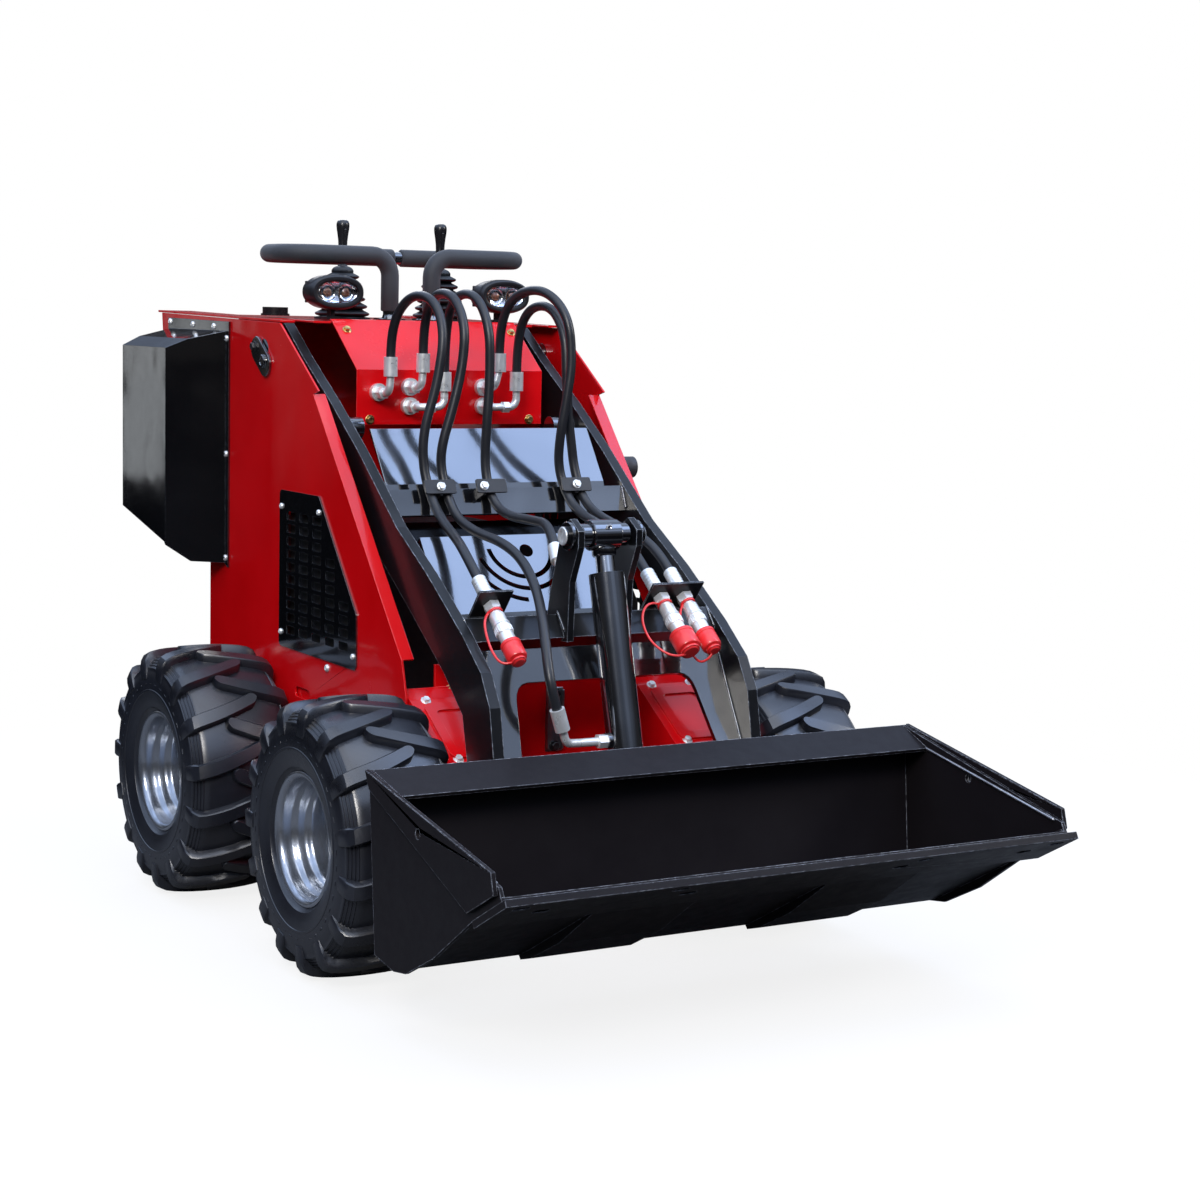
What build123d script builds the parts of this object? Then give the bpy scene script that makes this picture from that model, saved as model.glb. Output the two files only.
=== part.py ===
from build123d import *
import os
from math import radians, degrees, sin, cos, tan, atan2, sqrt, pi

os.makedirs("parts", exist_ok=True)

# Compact stand-on skid steer loader with lift arm and bucket.
# Frame: +Z up, forward (bucket) is -Y, machine's left is +X.
# Origin: on the floor, under the middle of the whole machine's bounding box.

# ---------------------------------------------------------------- driving sizes
FRONT_AXLE_Y, REAR_AXLE_Y = -236.0, 406.0
TYRE_R, TYRE_W = 228.5, 206.0
TRACK_X = 409.0                 # wheel centre plane, each side
RIM_R, RIM_FACE_X = 110.0, 494.0
HUB_SHAFT_R, HUB_CLEAR = 20.0, 0.05

TUB_X, TUB_Z0, TUB_Z1, TUB_T = 290.0, 112.0, 420.0, 6.0
TUB_FRONT_Y, TUB_REAR_Y = -172.0, 664.0
PANEL_X, PANEL_T = 296.0, 4.0   # outer plane of a side panel, its sheet
HOOD_FRONT_Y, HOOD_REAR_Y, HOOD_Z0, HOOD_Z1, HOOD_T = 332.0, 945.0, 1058.0, 1070.0, 4.0
BAY_X, BAY_Y = 225.0, 700.0     # operator's bay: half width and front wall

ARM_X, ARM_T = 248.0, 20.0      # arm plate centre plane, thickness
ARM_PIVOT = (405.0, 1002.0)     # (y, z) of the lift pivot
BUCKET_PIVOT = (-400.0, 165.0)
ARM_PIN_R, BUCKET_PIN_R, PIN_FIT = 20.0, 17.5, 0.05

TILT_EYE = (-328.0, 717.0)      # tilt cylinder's upper pin, on the arm's ears
TILT_BASE = (-446.0, 262.0)     # its lower pin, on the bucket's attach plate
VALVE_X, VALVE_Y = 192.0, 224.0  # valve panel: half width, front plane
LIFT_X = 211.0                  # lift cylinders' plane, each side
LIFT_BASE = (305.0, 300.0)      # lower pin, on the hull
LIFT_EYE = (199.5, 868.6)       # upper pin, on the arm

BUCKET_X, BUCKET_T = 510.0, 6.0

SIDES = (("right", -1), ("left", 1))
CORNERS = (("front_right", -1, FRONT_AXLE_Y), ("front_left", 1, FRONT_AXLE_Y),
           ("rear_right", -1, REAR_AXLE_Y), ("rear_left", 1, REAR_AXLE_Y))


def yz_plate(points, x0, x1):
    """Plate between planes x0 and x1 with a (y, z) outline."""
    lo, hi = min(x0, x1), max(x0, x1)
    with BuildPart() as plate:
        with BuildSketch(Plane.YZ.offset(lo)):
            with BuildLine():
                Polyline(*points, close=True)
            make_face()
        extrude(amount=hi - lo)
    return plate.part


def x_rod(y, z, x0, x1, r, bore=0.0):
    """Round bar or bush along X."""
    lo, hi = min(x0, x1), max(x0, x1)
    with BuildPart() as rod:
        with BuildSketch(Plane.YZ.offset(lo)):
            with Locations((y, z)):
                Circle(r)
                if bore:
                    Circle(bore, mode=Mode.SUBTRACT)
        extrude(amount=hi - lo)
    return rod.part


def unit(a):
    length = sqrt(sum(c * c for c in a))
    return tuple(c / length for c in a)


def arc_radii(points, share=0.45):
    """Arc radius at each inner point of a route: share of the shorter run over tan(half the turn)."""
    radii = []
    for before, here, after in zip(points, points[1:], points[2:]):
        u, v = Vector(*here) - Vector(*before), Vector(*after) - Vector(*here)
        radii.append(share * min(u.length, v.length) / tan(radians(u.get_angle(v)) / 2))
    return radii


def tube(points, bends, r):
    """Round tube along straight runs joined by tangent arcs, one radius for each inner point."""
    first, second = Vector(*points[0]), Vector(*points[1])
    with BuildPart() as run:
        with BuildLine() as path:
            FilletPolyline(*points, radius=bends)
        with BuildSketch(Plane(origin=first, z_dir=second - first)):
            Circle(r)
        sweep()
    length = sum(edge.length for edge in path.edges())
    assert abs(run.part.volume / (pi * r * r * length) - 1) < 0.01
    return run.part, length


def save(part, label):
    part.label = label
    export_step(part, f"parts/{label}.step")


# ================================================================ wheels
# tyre section: (offset from centre plane, radius)
TYRE_SECTION = ((-62, 101.2), (-71.6, 101.2), (-79.4, 108.8), (-86, 112.5), (-98, 130), (-103, 165), (-100, 196),
                (-82, 218), (-45, 227), (0, TYRE_R), (45, 227), (82, 218), (100, 196), (103, 165), (98, 130),
                (86, 112.5), (79.4, 108.8), (71.6, 101.2), (62, 101.2), (70, 122), (84, 140), (88, 165), (84, 190),
                (60, 205), (0, 212), (-60, 205), (-84, 190), (-88, 165), (-84, 140), (-70, 122))
# rim section for a wheel on the +X side: barrel, two flanges, dished disc
RIM_SECTION = ((85, 110), (88, 107), (86, 97), (62, 93), (38, 81), (-12, 78), (-19, 70), (-20, 36),
               (-26, 36), (-26, 80), (-20, 83.4), (34, 86.6), (52, 93), (-60, 92), (-84, 97), (-88, 107), (-85, 110),
               (-80, 108), (-72, 100.7), (72, 100.7), (80, 108))

for corner, side, axle_y in CORNERS:
    axis_plane = Plane(origin=(side * TRACK_X, axle_y, TYRE_R), x_dir=(side, 0, 0), z_dir=(0, -side, 0))
    with BuildPart() as tyre:
        with BuildSketch(axis_plane):
            with BuildLine():
                Polyline(*[(t, r) for t, r in TYRE_SECTION], close=True)
            make_face()
        revolve(axis=Axis((side * TRACK_X, axle_y, TYRE_R), (1, 0, 0)))
    save(tyre.part, f"tyre_{corner}")

    with BuildPart() as rim:
        with BuildSketch(axis_plane):
            with BuildLine():
                Polyline(*RIM_SECTION, close=True)
            make_face()
        revolve(axis=Axis((side * TRACK_X, axle_y, TYRE_R), (1, 0, 0)))
        with BuildSketch(Plane(origin=(side * (TRACK_X - 27), axle_y, TYRE_R), x_dir=(0, 1, 0), z_dir=(side, 0, 0))):
            with PolarLocations(57, 5):
                Circle(7.5)
        extrude(amount=9, mode=Mode.SUBTRACT)
        # valve stem, leaning inward from the rim's dish
        with BuildSketch(Plane(origin=(side * (TRACK_X + 44), axle_y - 90, TYRE_R + 8), x_dir=(0, 0, 1), z_dir=(side * 26, 22, 0))):
            Circle(4.4)
        extrude(amount=36)

    # hub: flange behind the disc, spigot through it, and the shaft that turns in the drive motor
    with BuildPart() as hub:
        base = Plane(origin=(side * (TRACK_X - 26), axle_y, TYRE_R), x_dir=(0, 1, 0), z_dir=(-side, 0, 0))
        with BuildSketch(base):
            Circle(70)
        extrude(amount=12)
        with BuildSketch(base.offset(12)):
            Circle(34)
        extrude(amount=10)
        with BuildSketch(base.offset(22)):
            Circle(HUB_SHAFT_R)
        extrude(amount=66)
        with BuildSketch(base):
            Circle(35.5)
        extrude(amount=-16)
        with BuildSketch(base):
            with PolarLocations(57, 5):
                Circle(7)
        extrude(amount=-20)
    with BuildPart() as wheel_centre:
        add(rim.part)
        add(hub.part)
    save(wheel_centre.part, f"rim_{corner}")

# ================================================================ hull
with BuildPart() as frame_tub:
    # floor, two sides, front wall, rear wall
    with BuildSketch(Plane.XY.offset(TUB_Z0)):
        with Locations((0, (TUB_FRONT_Y + TUB_REAR_Y) / 2)):
            Rectangle(2 * TUB_X, TUB_REAR_Y - TUB_FRONT_Y)
    extrude(amount=TUB_Z1 - TUB_Z0)
    with BuildSketch(Plane.XY.offset(TUB_Z0 + TUB_T)):
        with Locations((0, (TUB_FRONT_Y + TUB_REAR_Y) / 2)):
            Rectangle(2 * (TUB_X - TUB_T), TUB_REAR_Y - TUB_FRONT_Y - 2 * TUB_T)
    extrude(amount=TUB_Z1 - TUB_Z0, mode=Mode.SUBTRACT)
    # front wall carries on up between the arms
    with BuildSketch(Plane.XZ.offset(-TUB_FRONT_Y)):
        with Locations((0, 452)):
            Rectangle(2 * 228, 76)
    extrude(amount=-TUB_T)
    # holes for the drive motors' snouts
    for corner, side, axle_y in CORNERS:
        with BuildSketch(Plane.YZ.offset(side * TUB_X - 20)):
            with Locations((axle_y, TYRE_R)):
                Circle(62)
        if axle_y > TUB_FRONT_Y:
            extrude(amount=40, mode=Mode.SUBTRACT)
    # lugs for the lift cylinders' lower pins, on cross members
    for side in (-1, 1):
        for lug in (-34, 34):
            with BuildSketch(Plane.YZ.offset(side * LIFT_X + lug - 4)):
                with BuildLine():
                    Polyline((LIFT_BASE[0] - 38, TUB_Z0 + 3), (LIFT_BASE[0] + 38, TUB_Z0 + 3),
                             (LIFT_BASE[0] + 24, LIFT_BASE[1] + 24), (LIFT_BASE[0] - 24, LIFT_BASE[1] + 24), close=True)
                make_face()
            extrude(amount=8)
        with BuildSketch(Plane.YZ.offset(side * LIFT_X - 38)):
            with Locations(LIFT_BASE):
                Circle(12)
        extrude(amount=76)
save(frame_tub.part, "frame_tub")

# sloped boxes over the front drive motors, welded to the front wall
MOTOR_BOX = ((TUB_FRONT_Y, 112), (TUB_FRONT_Y, 452), (-204, 437), (-337, 350), (-343, 322), (-343, 112))
with BuildPart() as motor_boxes:
    for side in (-1, 1):
        lo = 155 if side > 0 else -TUB_X
        with BuildSketch(Plane.YZ.offset(lo)):
            with BuildLine():
                Polyline(*MOTOR_BOX, close=True)
            make_face()
        extrude(amount=TUB_X - 155)
        # hollow: 6 mm plate all round, open to the hull
        inner = ((TUB_FRONT_Y, 118), (TUB_FRONT_Y, 445), (-201, 431), (-331, 346), (-337, 320), (-337, 118))
        lo = 161 if side > 0 else -(TUB_X - 6)
        with BuildSketch(Plane.YZ.offset(lo)):
            with BuildLine():
                Polyline(*inner, close=True)
            make_face()
        extrude(amount=TUB_X - 6 - 161, mode=Mode.SUBTRACT)
        with BuildSketch(Plane.YZ.offset(side * TUB_X - 20)):
            with Locations((FRONT_AXLE_Y, TYRE_R)):
                Circle(62)
        extrude(amount=40, mode=Mode.SUBTRACT)
        # raised frame round the inspection cover on the slope
        slope = Plane(origin=(side * 222, -270.5, 393.5), x_dir=(1, 0, 0), z_dir=(0, -0.5474, 0.8369))
        with BuildSketch(slope):
            RectangleRounded(104, 132, 14)
            RectangleRounded(70, 96, 10, mode=Mode.SUBTRACT)
        extrude(amount=5)
        with BuildSketch(slope):
            RectangleRounded(104, 132, 14)
        extrude(amount=1.5)
save(motor_boxes.part, "motor_boxes")

# four wheel motors: body inside the hull, flange on its side plate, snout with the bore for the hub shaft
MOTOR_STEPS = ((40, 28), (80, 8), (59, 40), (48, 50))      # (radius, length) from the snout inwards
with BuildPart() as drive_motors:
    for corner, side, axle_y in CORNERS:
        depth = 0
        for radius, length in MOTOR_STEPS:
            with BuildSketch(Plane(origin=(side * (326 - depth), axle_y, TYRE_R), x_dir=(0, 1, 0), z_dir=(-side, 0, 0))):
                Circle(radius)
            extrude(amount=length)
            depth += length
    for corner, side, axle_y in CORNERS:
        with BuildSketch(Plane(origin=(side * 326, axle_y, TYRE_R), x_dir=(0, 1, 0), z_dir=(-side, 0, 0))):
            Circle(HUB_SHAFT_R + HUB_CLEAR)
        extrude(amount=40, mode=Mode.SUBTRACT)
save(drive_motors.part, "drive_motors")

# ================================================================ body panels
PANEL_OUTLINE = ((TUB_REAR_Y, 419), (TUB_REAR_Y, 640), (880, 700), (930, 1065), (HOOD_FRONT_Y + 2, HOOD_Z0 - 5),
                 (162, 936), (184, 930), (61, 786), (-181, 503), (-200, 440), (-200, 330), (560, 330))
GRILLE_OUTLINE = ((321, 751), (150, 751), (-10, 558), (-12, 461), (321, 464))
GRILLE_HOLE = ((308, 735), (156, 737), (4, 555), (2, 475), (308, 482))
FLANGE_OUTER = ((184, 930), (61, 786), (-181, 503))
with BuildPart() as side_panels:
    for name, side in SIDES:
        lo = PANEL_X - PANEL_T if side > 0 else -PANEL_X
        with BuildSketch(Plane.YZ.offset(lo)):
            with BuildLine():
                Polyline(*PANEL_OUTLINE, close=True)
            make_face()
            with BuildLine():
                Polyline(*GRILLE_HOLE, close=True)
            make_face(mode=Mode.SUBTRACT)
            for axle_y in (FRONT_AXLE_Y, REAR_AXLE_Y):
                with Locations((axle_y, TYRE_R)):
                    Circle(125, mode=Mode.SUBTRACT)
            with Locations(ARM_PIVOT):
                Circle(ARM_PIN_R + 0.3, mode=Mode.SUBTRACT)
            with Locations((220, 388)):
                SlotOverall(64, 18, mode=Mode.SUBTRACT)
        extrude(amount=PANEL_T)
        # front edge folded in towards the arm
        lo = PANEL_X - 24 if side > 0 else -PANEL_X
        with BuildSketch(Plane.YZ.offset(lo)):
            with BuildLine():
                Polyline((184, 930), (61, 786), (-181, 503), (-177, 500), (65, 783.5), (188, 927.5), close=True)
            make_face()
        extrude(amount=24)
save(side_panels.part, "side_panels")

with BuildPart() as side_grilles:
    for name, side in SIDES:
        lo = PANEL_X if side > 0 else -PANEL_X - 3
        with BuildSketch(Plane.YZ.offset(lo)) as mesh_plate:
            with BuildLine():
                Polyline(*GRILLE_OUTLINE, close=True)
            make_face()
            fillet(mesh_plate.vertices(), radius=10)
            # five columns of ten wide holes, cut short by the sloped front edge
            for y in (268, 212, 155.5, 98, 41):
                for row in range(10):
                    z = 706 - row * 23.2
                    front = max(150 - (751 - z) * 0.832, -11)
                    if y - 19 > front + 7:
                        with Locations((y, z)):
                            RectangleRounded(38, 15, 4, mode=Mode.SUBTRACT)
        extrude(amount=3)
save(side_grilles.part, "side_grilles")

with BuildPart() as hood:
    # slightly falling to the front; slots let the arms rise, and the operator's bay is open behind
    with BuildSketch(Plane.YZ.offset(-PANEL_X)):
        with BuildLine():
            Polyline((HOOD_FRONT_Y, HOOD_Z0 - HOOD_T), (HOOD_REAR_Y + 6, HOOD_Z1 - HOOD_T), (HOOD_REAR_Y + 6, HOOD_Z1),
                     (HOOD_FRONT_Y, HOOD_Z0), close=True)
        make_face()
    extrude(amount=2 * PANEL_X)
    for side in (-1, 1):
        with BuildSketch(Plane.XY.offset(1000)):
            with Locations((side * ARM_X, HOOD_FRONT_Y + 65)):
                Rectangle(ARM_T + 16, 150)
        extrude(amount=100, mode=Mode.SUBTRACT)
    with BuildSketch(Plane.XY.offset(1000)):
        with Locations((0, HOOD_FRONT_Y - 5)):
            Rectangle(2 * (VALVE_X + 2), 42)
    extrude(amount=100, mode=Mode.SUBTRACT)
    with BuildSketch(Plane.XY.offset(1000)):
        with Locations((0, BAY_Y + 150)):
            Rectangle(2 * BAY_X, 300)
    extrude(amount=100, mode=Mode.SUBTRACT)
    with BuildSketch(Plane.XY.offset(1000)):
        with Locations((0, 950)):
            Rectangle(2 * BAY_X, 220)
    extrude(amount=100, mode=Mode.SUBTRACT)
save(hood.part, "hood")

with BuildPart() as rear_panel:
    # hull's rear wall, a shelf, the bay's front wall and two wing walls running back
    with BuildSketch(Plane.XY.offset(TUB_Z1)):
        with Locations((0, TUB_REAR_Y - 3)):
            Rectangle(2 * (PANEL_X - PANEL_T), 6)
    extrude(amount=646 - TUB_Z1)
    with BuildSketch(Plane.XY.offset(640)):
        with Locations((0, (TUB_REAR_Y + BAY_Y) / 2 - 3)):
            Rectangle(2 * BAY_X, BAY_Y - TUB_REAR_Y + 6)
    extrude(amount=6)
    with BuildSketch(Plane.XY.offset(640)):
        with Locations((0, BAY_Y - 3)):
            Rectangle(2 * BAY_X, 6)
    extrude(amount=418)
    for side in (-1, 1):
        lo = BAY_X - 3 if side > 0 else -BAY_X - 4
        with BuildSketch(Plane.YZ.offset(lo)):
            with BuildLine():
                Polyline((TUB_REAR_Y - 6, 620), (TUB_REAR_Y, 620), (TUB_REAR_Y, 640), (880, 700), (926, 1060), (BAY_Y - 6, 1056),
                         (BAY_Y - 6, 646), (TUB_REAR_Y - 6, 646), close=True)
            make_face()
        extrude(amount=7)
save(rear_panel.part, "rear_panel")

# tanks hung on the sides: hydraulic oil on the right, fuel on the left
TANK_PLAN = ((PANEL_X, 580), (302, 577), (360, 606), (400, 636), (400, 872), (PANEL_X, 872))
TANK_FRONT = ((PANEL_X, 572), (345, 576), (400, 612), (400, 1000), (365, 1018), (302, 1034), (PANEL_X, 1034))
TANK_SIDE = ((560, 589), (606, 592), (642, 628), (880, 682), (880, 1040), (560, 1040))     # its bottom rises to the rear


def tank(side):
    with BuildPart() as body:
        with BuildSketch(Plane.XY.offset(560)):
            with BuildLine():
                Polyline(*[(side * x, y) for x, y in TANK_PLAN], close=True)
            make_face()
        extrude(amount=480)
        with BuildSketch(Plane.XZ.offset(-900)):
            with BuildLine():
                Polyline(*[(side * x, z) for x, z in TANK_FRONT], close=True)
            make_face()
        extrude(amount=340, mode=Mode.INTERSECT)
        with BuildSketch(Plane.YZ.offset(-420)):
            with BuildLine():
                Polyline(*TANK_SIDE, close=True)
            make_face()
        extrude(amount=840, mode=Mode.INTERSECT)
    return body.part


with BuildPart() as side_tanks:
    add(tank(-1))
    add(tank(1))
    for side in (-1, 1):
        # mounting flange round the tank's back
        with BuildSketch(Plane.YZ.offset(PANEL_X if side > 0 else -PANEL_X - 4)):
            with BuildLine():
                Polyline((566, 582), (566, 1052), (884, 1056), (876, 672), (700, 640), close=True)
            make_face()
        extrude(amount=4)
save(side_tanks.part, "side_tanks")

# flat plate behind the valve fittings, folded over the top of the arms' bay
with BuildPart() as valve_panel:
    with BuildSketch(Plane.YZ.offset(-VALVE_X)):
        with BuildLine():
            Polyline((345, 1058.3), (345, 1062), (337, 1062), (VALVE_Y, 973), (VALVE_Y, 873), (244, 873), (244, 876), (VALVE_Y + 3, 876),
                     (VALVE_Y + 3, 971.5), (338, 1058.3), close=True)
        make_face()
    extrude(amount=2 * VALVE_X)
    # joggled so its top edge lies under the hood's front edge
save(valve_panel.part, "valve_panel")

HOSE_R, FERRULE_R, PIPE_R, LOOP_Y = 8.5, 12.5, 7.0, 174.0
# each port: x, z; then the ferrule above its elbow: x, lower z, upper z
VALVE_PORTS = ((-151, 932, -149, 962, 997), (-87, 942, -84, 970, 1004), (-88, 907, -40, 936, 971),
               (64, 942, 73, 972, 1006), (65, 907, 110, 937, 972))
with BuildPart() as valve_fittings:
    # adapter, elbow and ferrule at each port
    for x, z, ferrule_x, ferrule_z0, ferrule_z1 in VALVE_PORTS:
        with BuildSketch(Plane(origin=(x, VALVE_Y, z), x_dir=(1, 0, 0), z_dir=(0, -1, 0))):
            Circle(16)
        extrude(amount=10)
        with BuildSketch(Plane(origin=(x, VALVE_Y - 10, z), x_dir=(1, 0, 0), z_dir=(0, -1, 0))):
            RegularPolygon(12, 6)
        extrude(amount=20)
        if abs(ferrule_x - x) < 20:
            route = ((x, VALVE_Y - 28, z), (x, LOOP_Y, z), (ferrule_x, LOOP_Y, ferrule_z0 + 4))
            bends = [14]
        else:
            route = ((x, VALVE_Y - 28, z), (x, LOOP_Y, z), (ferrule_x, LOOP_Y, z), (ferrule_x, LOOP_Y, ferrule_z0 + 4))
            bends = [14, 16]
        with BuildLine():
            FilletPolyline(*route, radius=bends)
        with BuildSketch(Plane(origin=route[0], x_dir=(1, 0, 0), z_dir=(0, -1, 0))):
            Circle(PIPE_R)
        sweep()
        with BuildSketch(Plane.XY.offset(ferrule_z0)):
            with Locations((ferrule_x, LOOP_Y)):
                Circle(FERRULE_R)
        extrude(amount=ferrule_z1 - ferrule_z0)
        if abs(ferrule_x - x) > 20:
            with BuildSketch(Plane(origin=(x + 16, LOOP_Y, z), x_dir=(0, 1, 0), z_dir=(1, 0, 0))):
                RegularPolygon(11, 6)
            extrude(amount=12)
save(valve_fittings.part, "valve_fittings")

with BuildPart() as radiator_cover:
    with BuildSketch(Plane.YZ.offset(-222)):
        with BuildLine():
            Polyline((108, 872), (104, 872), (38, 778), (20, 728), (24, 727), (42, 777), (108, 868), close=True)
        make_face()
    extrude(amount=444)
save(radiator_cover.part, "radiator_cover")

FAN_X, FAN_AT = 9.0, (-29.6, 669.4)        # centre of the fan slots on the guard
# slots: radius, first and last angle
FAN_SLOTS = ((62, 182, 356), (86, 194, 346), (110, 206, 262))
with BuildPart() as fan_guard:
    with BuildSketch(Plane.YZ.offset(-180)):
        # sloped face with a shelf and a flange down to the front wall
        with BuildLine():
            Polyline((-13, 689), (-109.6, 564.2), (-150, 556), (-150, 480), (-146, 480), (-146, 552.8), (-107.4, 560.6), (-9.8, 686.6), close=True)
        make_face()
        # recess above it
        with BuildLine():
            Polyline((-13, 689), (10.7, 670.6), (41.3, 710.1), (43.7, 708.3), (11.2, 666.4), (-14.8, 686.6), close=True)
        make_face()
    extrude(amount=360)
    guard = Plane(origin=(FAN_X, *FAN_AT), x_dir=(1, 0, 0), z_dir=(0, -0.7906, 0.6124))
    for radius, first, last in FAN_SLOTS:
        with BuildSketch(guard):
            with BuildLine():
                CenterArc((0, 0), radius + 4.5, first, last - first)
                CenterArc((0, 0), radius - 4.5, first, last - first)
                for edge in (first, last):
                    turn = radians(edge)
                    Line(((radius + 4.5) * cos(turn), (radius + 4.5) * sin(turn)), ((radius - 4.5) * cos(turn), (radius - 4.5) * sin(turn)))
            make_face()
        extrude(amount=8, both=True, mode=Mode.SUBTRACT)
    with BuildSketch(guard):
        with Locations((12, -8)):
            Circle(13)
    extrude(amount=8, both=True, mode=Mode.SUBTRACT)
save(fan_guard.part, "fan_guard")

with BuildPart() as engine_block:
    # engine with its shrouds, as one block
    with BuildSketch(Plane.XY.offset(TUB_Z0 + TUB_T)):
        with Locations((0, 400)):
            Rectangle(330, 400)
    extrude(amount=560)
save(engine_block.part, "engine_block")

# ================================================================ controls on the hood
HOOP_R, HOOP_Z, HOOP_FRONT_Y, HOOP_BACK_Y, HOOP_X, POST_X = 17.0, 1182.0, 397.0, 547.0, 247.0, 44.0
hood_top = HOOD_Z1 - 1.0
with BuildPart() as hand_hoop:
    with BuildLine():
        FilletPolyline((-POST_X, HOOP_FRONT_Y, 1060.2), (-POST_X, HOOP_FRONT_Y, HOOP_Z), (-HOOP_X, HOOP_FRONT_Y, HOOP_Z),
                       (-HOOP_X, HOOP_BACK_Y, HOOP_Z), (HOOP_X, HOOP_BACK_Y, HOOP_Z), (HOOP_X, HOOP_FRONT_Y, HOOP_Z),
                       (POST_X, HOOP_FRONT_Y, HOOP_Z), (POST_X, HOOP_FRONT_Y, 1060.2), radius=[38, 60, 60, 60, 60, 38])
    with BuildSketch(Plane(origin=(-POST_X, HOOP_FRONT_Y, 1060.2), z_dir=(0, 0, 1))):
        Circle(HOOP_R)
    sweep()
save(hand_hoop.part, "hand_hoop")

LEVER_X, LEVER_Y = 104.0, 480.0
with BuildPart() as lever_boots:
    for side in (-1, 1):
        with BuildSketch(Plane(origin=(side * LEVER_X, LEVER_Y, 1063), x_dir=(1, 0, 0), z_dir=(0, 0, 1))):
            Circle(52)
        extrude(amount=6)
        with BuildSketch(Plane(origin=(side * LEVER_X, LEVER_Y, 1069), x_dir=(1, 0, 0), z_dir=(0, 0, 1))):
            Circle(46)
        with BuildSketch(Plane(origin=(side * LEVER_X, LEVER_Y, 1146), x_dir=(1, 0, 0), z_dir=(0, 0, 1))):
            Circle(26)
        loft()
save(lever_boots.part, "lever_boots")

with BuildPart() as control_levers:
    for side in (-1, 1):
        with BuildSketch(Plane(origin=(side * LEVER_X, LEVER_Y, 1146), x_dir=(1, 0, 0), z_dir=(0, 0, 1))):
            Circle(7)
        extrude(amount=50)
        with BuildSketch(Plane(origin=(side * LEVER_X, LEVER_Y, 1192), x_dir=(1, 0, 0), z_dir=(0, 0, 1))):
            Circle(8)
        with BuildSketch(Plane(origin=(side * LEVER_X, LEVER_Y, 1238), x_dir=(1, 0, 0), z_dir=(0, 0, 1))):
            Circle(12)
        loft()
        with BuildSketch(Plane(origin=(side * LEVER_X, LEVER_Y, 1238), x_dir=(1, 0, 0), z_dir=(0, 0, 1))):
            Circle(12)
        extrude(amount=12)
save(control_levers.part, "control_levers")

LAMP_X, LAMP_Y, LAMP_Z = 174.0, 374.0, 1113.0
with BuildPart() as headlamps:
    for side in (-1, 1):
        with BuildSketch(Plane.XZ.offset(-(LAMP_Y - 34))):
            with Locations((side * LAMP_X, LAMP_Z)):
                Ellipse(54, 37)
        extrude(amount=-34)
        with BuildSketch(Plane.XZ.offset(-LAMP_Y)):
            with Locations((side * LAMP_X, LAMP_Z)):
                Ellipse(54, 37)
        with BuildSketch(Plane.XZ.offset(-(LAMP_Y + 34))):
            with Locations((side * LAMP_X, LAMP_Z)):
                Ellipse(36, 24)
        loft()
        with BuildSketch(Plane.XY.offset(1060)):
            with Locations((side * LAMP_X, LAMP_Y)):
                Rectangle(30, 40)
        extrude(amount=21)
save(headlamps.part, "headlamps")

with BuildPart() as platform:
    # folding-type step plate behind the hull, on two brackets
    with BuildSketch(Plane.XY.offset(206)):
        with Locations((0, 790)):
            Rectangle(460, 240)
    extrude(amount=6)
    for side in (-1, 1):
        with BuildSketch(Plane.YZ.offset(side * 200 - 5)):
            with BuildLine():
                Polyline((TUB_REAR_Y, 150), (TUB_REAR_Y, 300), (TUB_REAR_Y + 20, 300), (900, 206), (900, 190), close=True)
            make_face()
        extrude(amount=10)
save(platform.part, "platform")

with BuildPart() as arm_pivot_pins:
    for side in (-1, 1):
        with BuildSketch(Plane(origin=(side * 300, *ARM_PIVOT), x_dir=(0, 1, 0), z_dir=(-side, 0, 0))):
            Circle(ARM_PIN_R)
        extrude(amount=78)
        # keeper plate outside the side panel
        with BuildSketch(Plane(origin=(side * (PANEL_X + 6), ARM_PIVOT[0], ARM_PIVOT[1]), x_dir=(0, 1, 0), z_dir=(-side, 0, 0))):
            Circle(26)
        extrude(amount=6)
save(arm_pivot_pins.part, "arm_pivot_pins")

with BuildPart() as sight_gauge:
    # level gauge on the hull's front wall
    with BuildSketch(Plane.XZ.offset(-TUB_FRONT_Y)):
        with Locations((4, 382)):
            Rectangle(32, 112)
    extrude(amount=7)
    for z in (336, 428):
        with BuildSketch(Plane.XZ.offset(-TUB_FRONT_Y + 7)):
            with Locations((4, z)):
                Circle(8)
        extrude(amount=5)
save(sight_gauge.part, "sight_gauge")

with BuildPart() as exhaust_outlet:
    with BuildSketch(Plane.YZ.offset(PANEL_X)):
        with Locations((130, 796)):
            Circle(30)
    extrude(amount=4)
    with BuildSketch(Plane.YZ.offset(PANEL_X + 4)):
        with Locations((130, 796)):
            Circle(20)
    extrude(amount=40)
    with BuildSketch(Plane.YZ.offset(PANEL_X + 14)):
        with Locations((130, 796)):
            Circle(17)
    extrude(amount=40, mode=Mode.SUBTRACT)
save(exhaust_outlet.part, "exhaust_outlet")

with BuildPart() as filler_cap:
    # oil filler at the hood's right edge
    with BuildSketch(Plane.XY.offset(1065.4)):
        with Locations((-228, 512)):
            Circle(27)
    extrude(amount=4)
    with BuildSketch(Plane.XY.offset(1069.4)):
        with Locations((-228, 512)):
            Circle(24)
    extrude(amount=12)
save(filler_cap.part, "filler_cap")

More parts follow.
